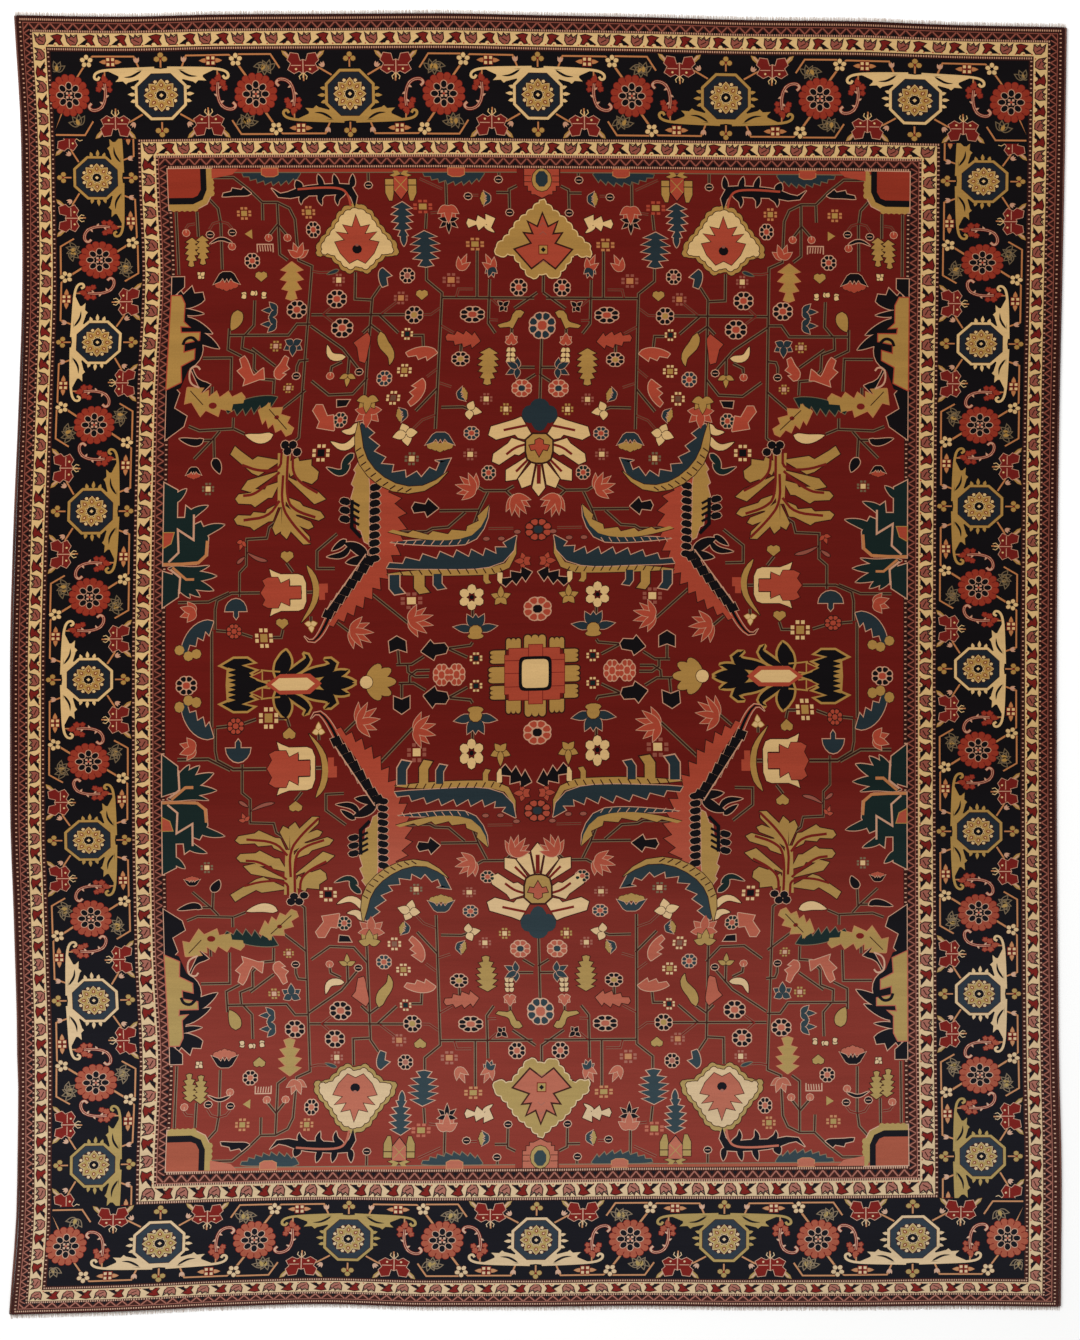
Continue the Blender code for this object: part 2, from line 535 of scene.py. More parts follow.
def blade(path: Points, width: float, teeth: int = 0, tooth: float = 0.0, sides: tuple[int, ...] = (1, -1),
          full: float = 0.7, stout: float = 0.7, lean: float = 0.8) -> np.ndarray:
    """A leaf along a curved midrib, plain or with forward-leaning teeth.

    Args:
        path: the midrib, root to tip.
        width: across its widest place.
        teeth: teeth on each toothed side.
        tooth: how far they stand out.
        sides: which sides have teeth, 1 for left of the midrib and -1 for right.
        full: under 1 the widest place moves towards the root.
        stout: under 1 the leaf keeps its width nearer to both ends.
        lean: how far each tooth leans, as a share of its pitch.

    Returns:
        The leaf's ring.
    """
    rib = smooth(path)
    pieces = []
    for side in (1, -1):
        if teeth and side in sides:
            k = np.arange(teeth)
            t = np.column_stack([k / teeth, (k + lean) / teeth]).ravel()
            out = np.tile([0.0, 1.0], teeth)
            t, out = np.append(t, 1.0), np.append(out, 0.0)
        else:
            t = np.linspace(0.0, 1.0, 11)
            out = np.zeros(11)
        spine = resample(rib, t)
        ahead = resample(rib, np.minimum(t + 0.02, 1.0)) - resample(rib, np.maximum(t - 0.02, 0.0))
        normal = 1j * ahead / np.maximum(np.abs(ahead), 1e-9)
        profile = np.sin(math.pi * np.clip(t, 0.001, 0.999) ** full) ** stout
        half = 0.5 * width * profile + out * tooth * profile ** 0.3
        points = spine + side * normal * half
        pieces.append(points[::-1] if side > 0 else points)
    return np.concatenate(pieces)


@dataclass
class Motif:
    """Coloured shapes drawn round one centre, in knots."""

    cells: list[tuple[np.ndarray, Yarn, int]] = field(default_factory=list)

    def fill(self, ring: Points, yarn: Yarn, level: int = 1) -> "Motif":
        """Add one filled shape and return the motif."""
        self.cells.append((np.asarray(ring, dtype=complex), yarn, level))
        return self

    def line(self, path: Points, width: float, yarn: Yarn, level: int = 1, closed: bool = False) -> "Motif":
        """Add a line of even width with mitred corners.

        Args:
            path: the line's points.
            width: the line's width.
            yarn: its yarn.
            level: its layer.
            closed: whether the last point joins the first.

        Returns:
            The motif.
        """
        points = np.asarray(path, dtype=complex)
        ends = np.roll(points, -1) - points
        if not closed:
            ends[-1] = ends[-2]
        ends = ends / np.maximum(np.abs(ends), 1e-9)
        starts = np.roll(ends, 1)
        if not closed:
            starts[0] = ends[0]
        mean = starts + ends
        mean = mean / np.maximum(np.abs(mean), 1e-9)
        miter = 1.0 / np.maximum((mean * np.conj(ends)).real, 0.45)
        offset = 0.5j * width * mean * miter
        last = len(points) if closed else len(points) - 1
        for i in range(last):
            j = (i + 1) % len(points)
            quad = (points[i] - offset[i], points[j] - offset[j], points[j] + offset[j],
                    points[i] + offset[i])
            self.cells.append((np.array(quad), yarn, level))
        return self

    def shape(self, ring: Points, yarn: Yarn, edge: Yarn | None = None, edging: float = 1.0,
              level: int = 1) -> "Motif":
        """Add a filled shape with a line of another yarn round it.

        Args:
            ring: the shape.
            yarn: its yarn.
            edge: the outline's yarn, or None for no outline.
            edging: how far the outline shows round the shape.
            level: the outline's layer, one under the shape's.

        Returns:
            The motif.
        """
        if edge is not None:
            self.line(ring, 2.0 * edging, edge, level, closed=True)
        return self.fill(ring, yarn, level + 1)

    def add(self, other: "Motif", at: complex = 0j, turn: float = 0.0, size: float = 1.0,
            mirror: bool = False, lift: int = 0) -> "Motif":
        """Set another motif into this one.

        Args:
            other: the motif to copy.
            at: where its centre goes.
            turn: its turn, in degrees anticlockwise.
            size: its scale.
            mirror: whether its left and right are swapped before the turn.
            lift: layers to raise it by.

        Returns:
            The motif.
        """
        spin = size * complex(math.cos(math.radians(turn)), math.sin(math.radians(turn)))
        for ring, yarn, level in other.cells:
            drawn = -np.conj(ring) if mirror else ring
            self.cells.append((at + drawn * spin, yarn, level + lift))
        return self

    def round(self, other: "Motif", count: int, start: float = 0.0) -> "Motif":
        """Set copies of another motif evenly round the centre and return the motif."""
        for k in range(count):
            self.add(other, turn=start + 360.0 * k / count)
        return self


class Side(Enum):
    """A side of the rug, as the turn that brings the head border there."""

    HEAD = 1 + 0j
    RIGHT = -1j
    FOOT = -1 + 0j
    LEFT = 1j


@dataclass
class Cartoon:
    """The whole chart: every shape, where it lies in the chart, its yarn and its layer."""

    plan: Plan
    longest_edge: float = 15.0
    step: float = 0.0001
    # Shapes of one layer that lie near each other take different parts of a step, so no two share a plane.
    turns: int = 16
    square: float = 4.0
    cells: dict[Yarn, list[tuple[np.ndarray, float]]] = field(
        default_factory=lambda: {yarn: [] for yarn in Yarn}
    )
    taken: dict[tuple[int, int, int], int] = field(default_factory=dict)

    def free_turn(self, ring: np.ndarray, level: int) -> int:
        """Take the first part of a step that no shape of the same layer has yet in the squares round a ring.

        Args:
            ring: the shape, in knots.
            level: its layer.

        Returns:
            The part's number.
        """
        low_u, low_v = int(ring.real.min() // self.square), int(ring.imag.min() // self.square)
        high_u, high_v = int(ring.real.max() // self.square), int(ring.imag.max() // self.square)
        squares = [(level, i, j) for i in range(low_u, high_u + 1) for j in range(low_v, high_v + 1)]
        mask = 0
        for square in squares:
            mask |= self.taken.get(square, 0)
        turn = next((k for k in range(self.turns) if not mask >> k & 1), len(self.taken) % self.turns)
        for square in squares:
            self.taken[square] = self.taken.get(square, 0) | 1 << turn
        return turn

    def ring(self, ring: np.ndarray, yarn: Yarn, level: int) -> None:
        """Add one shape at its place in the chart.

        Args:
            ring: the shape, in knots.
            yarn: its yarn.
            level: its layer.
        """
        after = np.roll(ring, -1)
        area = 0.5 * float(np.sum(ring.real * after.imag - after.real * ring.imag))
        if abs(area) < 1e-6:
            return
        height = level + 1 + self.free_turn(ring, level) * 0.8 / self.turns
        self.cells[yarn].append((ring if area > 0.0 else ring[::-1], height))

    def sheet(self, low: complex, high: complex, yarn: Yarn, level: int = 0) -> None:
        """Add a rectangle, in cells small enough to follow the wander of the edges.

        Args:
            low: its low corner.
            high: its high corner.
            yarn: its yarn.
            level: its layer.
        """
        size = high - low
        columns = max(1, math.ceil(size.real / self.longest_edge))
        rows = max(1, math.ceil(size.imag / self.longest_edge))
        width = size.real / columns
        height = size.imag / rows
        for i in range(columns):
            for j in range(rows):
                corner = low + i * width + 1j * j * height
                cell = np.array([corner, corner + width, corner + width + 1j * height, corner + 1j * height])
                self.ring(cell, yarn, level)

    def band(self, inner: float, outer: float, yarn: Yarn, level: int = 0) -> None:
        """Add a stripe that runs round the whole field.

        Args:
            inner: its inner edge, in knots out from the field.
            outer: its outer edge.
            yarn: its yarn.
            level: its layer.
        """
        u_in, v_in = FIELD_U + inner, FIELD_V + inner
        u_out, v_out = FIELD_U + outer, FIELD_V + outer
        self.sheet(complex(-u_out, v_in), complex(u_out, v_out), yarn, level)
        self.sheet(complex(-u_out, -v_out), complex(u_out, -v_in), yarn, level)
        self.sheet(complex(-u_out, -v_in), complex(-u_in, v_in), yarn, level)
        self.sheet(complex(u_in, -v_in), complex(u_out, v_in), yarn, level)

    def stamp(self, motif: Motif, at: complex = 0j, turn: complex = 1 + 0j, squeeze: float = 1.0,
              mirror: bool = False, flip: bool = False, lift: int = 0) -> None:
        """Add a motif.

        Args:
            motif: what to add.
            at: where its centre goes, before the turn.
            turn: the turn of the whole, as a complex number of length 1.
            squeeze: its scale along u, before the turn.
            mirror: whether left and right are swapped.
            flip: whether top and bottom are swapped.
            lift: layers to raise it by.
        """
        for ring, yarn, level in motif.cells:
            drawn = -np.conj(ring) if mirror else ring
            drawn = np.conj(drawn) if flip else drawn
            self.ring((at + drawn.real * squeeze + 1j * drawn.imag) * turn, yarn, level + lift)

    def piece(self, yarn: Yarn, top: float, under: float, finish: PileWool) -> bpy.types.Object | None:
        """Knot every shape of one yarn into one mesh, on the pile's face and again on its back.

        Args:
            yarn: the yarn.
            top: the height of the slab's face.
            under: the height of the slab's back.
            finish: the pile's finish.

        Returns:
            The mesh object, or None if the yarn isn't used.
        """
        cells = self.cells[yarn]
        if not cells:
            return None
        sizes = np.array([len(ring) for ring, _ in cells])
        depth = np.repeat([height for _, height in cells], sizes) * self.step
        flat = self.plan.place(np.concatenate([ring for ring, _ in cells]))
        face = np.column_stack([flat, top + depth])
        back = np.column_stack([flat, under - depth])
        starts = np.concatenate([[0], np.cumsum(sizes)[:-1]])
        faces = [list(range(start, start + size)) for start, size in zip(starts, sizes)]
        offset = len(flat)
        faces += [[offset + i for i in reversed(one)] for one in faces]
        mesh = bpy.data.meshes.new("pattern_" + yarn.name.lower())
        mesh.from_pydata(np.vstack([face, back]).tolist(), [], faces)
        lay_flat_uv(mesh)
        piece = bpy.data.objects.new(mesh.name, mesh)
        bpy.context.collection.objects.link(piece)
        mesh.materials.append(finish.material(yarn))
        return piece


def lay_flat_uv(mesh: bpy.types.Mesh) -> None:
    """Give a mesh a UV map that is its own plan, so that a yarn's shade runs on across its shapes.

    Args:
        mesh: the mesh to unwrap.
    """
    low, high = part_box("rug_body")
    layer = mesh.uv_layers.new(name="OFBake")
    places = np.empty(len(mesh.vertices) * 3)
    mesh.vertices.foreach_get("co", places)
    places = places.reshape(-1, 3)
    corner = np.empty(len(mesh.loops), dtype=np.int32)
    mesh.loops.foreach_get("vertex_index", corner)
    span = (high.y - low.y) * 1.04
    uv = places[corner, :2] / span + 0.5
    layer.uv.foreach_set("vector", uv.ravel())


@dataclass
class Ornaments:
    """The border's and the field's motifs, each drawn once."""

    def flower(self, row: "Flower") -> Motif:
        """One of the field's flowers: eight wedges on a pale round, or eight loose blocks without one.

        Args:
            row: its size and yarns.

        Returns:
            The motif, round its own centre.
        """
        bloom = Motif()
        across, up = row.size.real / 2, row.size.imag / 2
        if row.edge is None:
            for spot in (0.77 + 0.26j, 0.27 + 0.78j, -0.27 + 0.78j, -0.77 + 0.26j):
                for block in (spot, -spot):
                    corner = complex(block.real * across, block.imag * up)
                    bloom.fill(corner + loop(0.26 * across, 0.26 * up, 4, 0j, 45), row.petals, 1)
            return bloom.fill(loop(0.55 * across, 0.58 * up, 4, 0j, 45), row.heart, 2)
        bloom.fill(scalloped(across + 0.7, up + 0.7, 8, 0.08, 4), row.edge, 0)
        wedge = smooth((0.46 - 0.32j, 0.97 - 0.32j, 0.97 + 0.32j, 0.46 + 0.32j), 1, closed=True)
        for k in range(8):
            ring = wedge.real * np.exp(1j * (wedge.imag + math.pi / 8 * (2 * k + 1)))
            bloom.fill(ring.real * across + 1j * ring.imag * up, row.petals, 1)
        heart = smooth(loop(0.46, 0.46, 4, 0j, 45), 1, closed=True)
        return bloom.fill(heart.real * across + 1j * heart.imag * up, row.heart, 3)

    def frond(self, rib: Points, width: float, yarn: Yarn, prongs: int) -> Motif:
        """A broad leaf with a dark edge, widest near its tip, with a few short points.

        Args:
            rib: its midrib, root to tip.
            width: across its widest place.
            yarn: its yarn.
            prongs: how many points each side has.

        Returns:
            The motif.
        """
        ring = blade(rib, width, prongs, 0.28 * width, full=1.25, stout=0.75, lean=0.8)
        return Motif().shape(ring, yarn, DARK, 1, 2)

    def shell(self, width: float, height: float) -> np.ndarray:
        """A block that stands along +v on its root and swells in three round lobes at its far side.

        Args:
            width: across the block.
            height: from its root to the tops of its lobes.

        Returns:
            The ring.
        """
        radius = width / 6
        lobes = [
            complex(2 * radius * (1 - k) + radius * math.cos(turn), height * (0.75 + 0.25 * math.sin(turn)))
            for k in range(3)
            for turn in np.linspace(0, math.pi, 6)[:-1]
        ]
        return np.array([*lobes, -3 * radius + 0.75j * height, -3 * radius + 0j, 3 * radius + 0j])

    def heart(self, width: float, height: float, yarn: Yarn) -> Motif:
        """A plain heart of one yarn with a dark edge, point downwards."""
        half = (0.5j - 0.12j, 0.2 + 0.5j, 0.45 + 0.35j, 0.5 + 0j, -0.5j)
        ring = [*half, *[-p.conjugate() for p in half[-2:0:-1]]]
        return Motif().shape([complex(p.real * width, p.imag * height) for p in ring], yarn, DARK, 0.6, 0)

    def spray(self, count: int, reach: float, width: float, yarn: Yarn, edge: Yarn, spread: float) -> Motif:
        """Petals that fan out from one root, the middle one longest.

        Args:
            count: how many petals.
            reach: the longest petal's length.
            width: a petal's width.
            yarn: its yarn.
            edge: the outline's yarn.
            spread: the angle of the whole fan, in degrees.

        Returns:
            The motif, pointing along +v.
        """
        fan = Motif()
        for k in range(count):
            share = 0 if count == 1 else k / (count - 1) * 2 - 1
            long = reach * (1 - 0.25 * abs(share))
            ring = petal(long, width) * np.exp(1j * math.radians(90 + share * spread / 2))
            fan.shape(ring, yarn, edge, 0.6, 0 if k % 2 else 2)
        return fan

    def lotus(self, width: float, cap: Yarn, lobes: Yarn = GOLD) -> Motif:
        """A dark cap over a row of round lobes, open along +v.

        Args:
            width: across the cap.
            cap: its yarn.
            lobes: the lobes' yarn.

        Returns:
            The motif.
        """
        half = width / 2
        bloom = Motif()
        for share in (-0.62, -0.32, 0, 0.32, 0.62):
            up = 0.34 * width * (1 - 0.5 * abs(share))
            bloom.shape(loop(width * 0.14, width * 0.17, 8, complex(share * half, up)), lobes, DARK, 0.5, 0)
        ring = (-1 + 0.5j, -0.55 - 0.25j, -0.3 - 0.42j, 0.3 - 0.42j, 0.55 - 0.25j, 1 + 0.5j, 0.5 + 0.3j,
                0.3 + 0.05j, 0.14 + 0.32j, 0 + 0.05j, -0.14 + 0.32j, -0.3 + 0.05j, -0.5 + 0.3j)
        return bloom.shape([p * half for p in ring], cap, CREAM, 0.6, 2)

    def pale_flower(self) -> Motif:
        """Five pale round petals round a dark eye."""
        petals = Motif().shape(loop(2.6, 2.3, 8, 4.2), IVORY, DARK, 0.7)
        return Motif().round(petals, 5, 90).fill(loop(1.5, count=6), NAVY, 3)

    def cross_bud(self) -> Motif:
        """A four-dot cross with two slender gold points."""
        bud = Motif()
        for side in (1, -1):
            bud.shape(petal(9, 4.4, 2.5) * side, TAN, DARK, 0.5)
        dot = Motif().shape(loop(2.1, 2.1, 4, 2.5 + 2.5j, 45), IVORY, WINE, 0.9, 3)
        return bud.round(dot, 4)

    def trefoil(self) -> Motif:
        """A small gold trefoil on a short stem, pointing along +v."""
        leaf = Motif().line([-8j, 0j], 1.6, TAN, 1)
        for at in (3.6 + 0.5j, -3.6 + 0.5j, 4.6j):
            leaf.shape(loop(2.7, 2.7, 7, at), GOLD, DARK, 0.7)
        return leaf.fill(loop(1.3, 1.3, 6, 1j), WINE, 3)

    def forked_leaf(self) -> Motif:
        """A fan leaf, outlined in pale yarn with a gold heart."""
        leaf = Motif()
        for lean in (-52, -14, 24, 58):
            turned = petal(11, 5.4) * np.exp(1j * math.radians(90 + lean))
            leaf.line(turned, 1, VINE, 2, closed=True)
        return leaf.fill(petal(7, 4) * 1j, GOLD, 2)

    def border_rosette(self) -> Motif:
        """The sixteen-lobed rosette of the main border, with eight dark petals and a small cross."""
        rosette = Motif().shape(scalloped(21.3, 21.3, 16, 0.13), BRICK, WINE, 0.5)
        for k in range(16):
            turn = np.exp(2j * math.pi * k / 16)
            rosette.line((15.2 * turn, 18.4 * turn), 0.9, WINE, 3)
        leaf = Motif().shape(loop(3.7, 2.9, 10, 9.4), NAVY, CREAM, 0.7, 3)
        dot = Motif().fill(loop(1.7, 1.7, 4, 2.9, 0), CREAM, 8)
        rosette.fill(loop(10.5, count=12), NAVY, 2).round(leaf, 8)
        return rosette.fill(loop(5.4, count=10), NAVY, 7).round(dot, 4, 45).fill(loop(1.4, count=6), CORAL, 8)

    def octagon(self, ring: Yarn) -> Motif:
        """The octagon palmette with its split-leaf arms on the +v side.

        Args:
            ring: the yarn of its rim and arms.

        Returns:
            The motif.
        """
        palmette = Motif()
        arm = [16 + 13j, 24 + 24.5j, 8 + 27.5j, -1 + 26.5j, -1 + 20j]
        palmette.fill(arm, ring, 3)
        bar = [6 + 27.6j, 40 + 26.6j, 58 + 25.5j, 66 + 22.5j, 67.5 + 17.5j, 63.5 + 15.5j, 61.5 + 19j]
        curl = smooth(bar, 2)
        palmette.line(curl, 2.6, ring, 3)
        leaf = blade([12 + 22j, 28 + 20j, 50 + 26j], 10, 4, 3, (-1,), lean=0.9)
        palmette.fill(leaf, ring, 3)
        spur = [20 + 22j, 34 + 11.5j, 37 + 14.5j, 45 + 14j, 40 + 19j, 52 + 24.5j, 36 + 27j]
        palmette.fill(spur, ring, 3)
        palmette.fill(blade([18 + 25j, 27 + 19j, 36 + 18.5j], 2.4), NAVY, 5)
        for height, reach in ((-5, 6), (1, 8), (7, 6)):
            palmette.fill(petal(reach, 3.6, 24.5) * np.exp(1j * math.radians(height * 2.4)), ring, 3)
        mirrored = Motif().add(palmette, mirror=True)
        palmette.add(mirrored)
        rim = loop(27, 27, 8, 0j, 22.5)
        palmette.fill(rim, ring, 4)
        palmette.fill(rim * 0.89, DARK, 5).fill(rim * 0.865, STEEL, 6)
        palmette.fill(loop(16.4, count=16), DARK, 7)
        flower = Motif().shape(petal(10.4, 8.2, 5.4), GOLD, IVORY, 0.5, 8)
        flower.fill(petal(5, 3.6, 8), WINE, 10).fill(petal(3, 1.6, 9), IVORY, 11)
        palmette.round(flower, 8)
        between = Motif().fill(loop(1.9, 1.9, 5, 14.6), IVORY, 10)
        palmette.round(between, 8, 22.5)
        palmette.fill(loop(5.6, count=12), IVORY, 10).fill(loop(5, count=12), NAVY, 11)
        return palmette.fill(loop(2, 2, 4, 0j, 0), IVORY, 12)

    def winged_palmette(self) -> Motif:
        """A dark red palmette that opens along -v between two pale wings."""
        palmette = Motif()
        wing = Motif().shape([5 + 1j, 17 - 12.5j, 21.5 - 13.5j, 20 - 9.5j, 9 + 1j], GOLD, DARK, 0.6)
        wing.fill([9 - 3j, 17.5 - 12j, 19.5 - 12j, 11 - 2j], CREAM, 3)
        lobe = [0.5 + 9j, 4 + 7j, 9 + 9.5j, 15 + 5.5j, 12 - 0.5j, 15.5 - 4j, 12.5 - 11j, 5 - 10j, 3 - 3j,
                0.5 - 4j]
        wing.shape(lobe, WINE, CREAM, 0.6, 3)
        wing.line([2 + 1.5j, 12 + 1.5j], 0.8, CREAM, 5).fill(loop(1.2, 1.2, 6, 7 + 5.2j), IVORY, 5)
        palmette.add(wing).add(wing, mirror=True)
        palmette.line([9j, 14j], 1, IVORY, 3)
        for side in (1, -1):
            palmette.line([0.5 * side + 9j, 4 * side + 12.5j, 3 * side + 15.5j], 0.8, IVORY, 3)
        return palmette

    def curly_leaf(self) -> Motif:
        """A coral leaf with a pale vein that hangs from a small red flower and curls at its foot."""
        leaf = Motif()
        for at, size in ((-1 + 12j, 3.2), (-5.5 + 8j, 3.4), (3.5 + 7.5j, 3.4), (-6 + 2j, 2.6),
                         (5.5 + 2.5j, 2.8)):
            leaf.shape(scalloped(size, size, 5, 0.3, 3) + at, BRICK, WINE, 0.6)
        leaf.fill(petal(8, 4, 10) * 1j, BRICK, 2)
        vein = smooth([-1 + 8j, -2 - 2j, 0 - 12j, 5 - 18j, 13 - 19.5j, 17 - 15.5j, 13.5 - 12j])
        leaf.line(vein, 3.6, WINE, 3).line(vein, 2.3, CREAM, 4).line(vein[:-8], 1, WINE, 5)
        for t, side in ((4, 1), (7, -1), (10, 1), (13, -1)):
            spot = vein[t]
            leaf.fill(spot + side * petal(4.6, 2.2) * np.exp(0.5j * side), CREAM, 4)
        return leaf

    def dark_bird(self) -> Motif:
        """A dark red slanting leaf with a blue-black tail, one of the pair along the guard stripes."""
        leaf = Motif().shape([-6 + 4j, -2 + 5j, 3.5 + 3.5j, 1 + 1j, 2.5 - 2j, -1 - 1.5j, -3.5 - 4.5j, -6 - 4j,
                              -4 + 0j],
                             WINE, DARK, 1.1)
        return leaf.shape([0 + 0.5j, 3.5 - 1j, 8 - 4.5j, 3 - 4.5j], NAVY, DARK, 0.6, 3)

    def pink_bird(self) -> Motif:
        """A pink three-lobed leaf with a dark edge, the other of the guard stripes' pair."""
        leaf = Motif().shape([-5 + 4j, -2 + 1.5j, 0.5 + 4.5j, 2 + 1j, 6 + 4.5j, 4.5 - 1.5j, 1.5 - 4.5j,
                              -3.5 - 4.5j, -5.5 - 1j], PINK, DARK, 1.1)
        leaf.line([-3 - 2.5j, 2.5 + 0.5j], 1, DARK, 3)
        return leaf.line([-4.5 + 5.5j, 5 + 1.5j, 6.5 + 5.5j], 0.7, GREEN, 3)


@dataclass
class Borders:
    """The stripes round the field: three-stripe guards on both sides of the wide navy border."""

    cartoon: Cartoon
    ornaments: Ornaments
    # Distances between motifs on the ends and on the sides.
    tick_pitches: tuple[float, float] = (2.3, 4.7)
    zigzag_pitches: tuple[float, float] = (11.8, 8.0)
    bird_pitches: tuple[float, float] = (16.4, 16.4)
    end_units: int = 5
    side_units: int = 7
    end_spacing: float = 188.5
    side_spacing: float = 164.2
    unit_middle: float = 74.5

    def along(self, side: Side) -> tuple[float, float]:
        """The field's half size behind a side and half the field's length along it."""
        if side in (Side.HEAD, Side.FOOT):
            return FIELD_V, FIELD_U
        return FIELD_U, FIELD_V

    def repeat(self, inner: float, outer: float, pitches: tuple[float, float], motifs: Sequence[Motif],
               fitted: bool = False) -> None:
        """Repeat motifs in turn round a stripe, mirrored about each side's middle.

        Args:
            inner: the stripe's inner edge, in knots out from the field.
            outer: the stripe's outer edge.
            pitches: the distance between motifs on the ends and on the sides.
            motifs: the motifs, drawn along u.
            fitted: whether they are drawn for the ends' pitch and stretched to the side's own.
        """
        middle = (inner + outer) / 2
        for side in Side:
            behind, half = self.along(side)
            ends = side in (Side.HEAD, Side.FOOT)
            pitch = pitches[0] if ends else pitches[1]
            reach = half + (outer if ends else inner) - pitch / 2
            count = max(1, round(reach / pitch))
            step = reach / count
            squeeze = step / pitches[0] if fitted else 1
            for k in range(-count, count + 1):
                at = complex(k * step, behind + middle)
                self.cartoon.stamp(motifs[abs(k) % len(motifs)], at, side.value, squeeze, mirror=k < 0,
                                   lift=1)

    def stripes(self) -> None:
        """Lay the plain ground of every stripe."""
        for inner, outer, yarn in (
            (0, 13.8, DARK), (13.8, 27.5, IVORY), (27.5, 30.5, DARK), (30.5, 118.5, NAVY),
            (118.5, 123.3, DARK), (123.3, 137.5, IVORY), (137.5, 154.5, DARK),
        ):
            self.cartoon.band(inner, outer, yarn)
        for inner, outer in ((10.9, 11.7), (147, 147.8)):
            self.cartoon.band(inner, outer, PINK, 1)

    def ticks(self) -> None:
        """Lay the rows of short pale ticks between the stripes."""
        tick = Motif().fill([-0.6 - 1j, 0.6 - 1j, 0.6 + 1j, -0.6 + 1j], CREAM)
        for middle in (1.9, 12.7, 29, 121, 139.1, 150.6):
            self.repeat(middle - 1, middle + 1, self.tick_pitches, [tick])

    def zigzags(self) -> None:
        """Lay the pink zigzag of the reciprocal stripes and the small black points under it."""
        half = self.zigzag_pitches[0] / 2
        latch = Motif().fill([-2.6 - 3.3j, 2.6 - 3.3j, 0.4j], NAVY)
        for side in (1, -1):
            latch.line([half * side - 3.2j, 0.5 * side + 2.8j], 1.4, PINK)
        for inner, outer in ((3.7, 10.9), (140.5, 147)):
            self.repeat(inner, outer, self.zigzag_pitches, [latch], fitted=True)

    def guards(self) -> None:
        """Lay the paired leaves of the ivory guard stripes."""
        birds = [self.ornaments.pink_bird(), self.ornaments.dark_bird()]
        dot = Motif().fill(loop(0.9, 0.9, 5), CORAL)
        for inner, outer in ((14.2, 27.3), (123.6, 137.2)):
            self.repeat(inner, outer, self.bird_pitches, birds)
            self.repeat(inner + 1, inner + 2, (8.2, 8.2), [dot])

    def unit(self, rim: Yarn, squeeze: float) -> Motif:
        """One repeat of the main border, from one rosette to the next, with its octagon in the middle.

        Args:
            rim: the yarn of the octagon's rim and arms.
            squeeze: how much shorter the repeat is than on the ends.

        Returns:
            The motif, with its arms on the +v side.
        """
        art = self.ornaments
        half = Motif()
        half.line([20 + 27j, 25 + 39.5j, 68 + 39.5j, 74 + 34j, 88 + 14j], 1.7, TAN, 1)
        half.line([70 - 26j, 79 - 40j, 111 - 40j, 115 - 34j, 101 - 14j], 1.7, TAN, 1)
        half.line([18 - 19j, 30 - 26j, 40 - 30j], 1.7, TAN, 1).line([46 - 13j, 46 - 24j], 1.5, TAN, 1)
        half.line([56 + 25j, 56 + 16j], 1.5, TAN, 1)
        half.add(art.pale_flower(), 74.5 + 34.5j, lift=2)
        half.add(art.cross_bud(), 49.5 + 34j, lift=1)
        half.add(art.winged_palmette(), 46.5 - 30j, lift=1)
        half.add(art.curly_leaf(), 57.5 + 4j, lift=1)
        half.add(art.forked_leaf(), 85 - 30j, turn=-25, lift=1)
        half.add(art.forked_leaf(), 106 + 24j, turn=0, size=0.95, lift=1)
        for at, turn in ((26 - 27j, -60), (22 + 33j, 80)):
            for lean in (-28, 0, 28):
                half.fill(at + petal(6, 2.6) * np.exp(1j * math.radians(turn + lean)), CREAM, 2)
        whole = Motif().add(half).add(half, mirror=True)
        whole.add(art.octagon(rim), lift=2)
        for at, turn in ((36j, 0), (-35j, 180)):
            whole.add(art.trefoil(), at, turn, lift=1)
        cells = []
        for ring, yarn, level in whole.cells:
            middle = ring.mean().real
            cells.append((ring + middle * (squeeze - 1), yarn, level))
        return Motif(cells)

    def main_border(self) -> None:
        """Lay the octagons and rosettes of the navy border, ivory and gold in turn."""
        rosette = self.ornaments.border_rosette()
        for side in Side:
            ends = side in (Side.HEAD, Side.FOOT)
            behind, _ = self.along(side)
            count = self.end_units if ends else self.side_units
            spacing = self.end_spacing if ends else self.side_spacing
            squeeze = spacing / self.end_spacing
            for k in range(count):
                at = complex((k - (count - 1) / 2) * spacing, behind + self.unit_middle)
                pale = (k % 2 == 0) if ends else (k % 2 == 1)
                rim = IVORY if pale else GOLD
                unit = self.unit(rim, 1)
                self.stamp_cut(unit, at, side, squeeze, not pale, count, k)
            for k in range(count + 1 if ends else count - 1):
                s = (k - (count if ends else count - 2) / 2) * spacing
                self.cartoon.stamp(rosette, complex(s, behind + self.unit_middle), side.value, squeeze,
                                   lift=6)

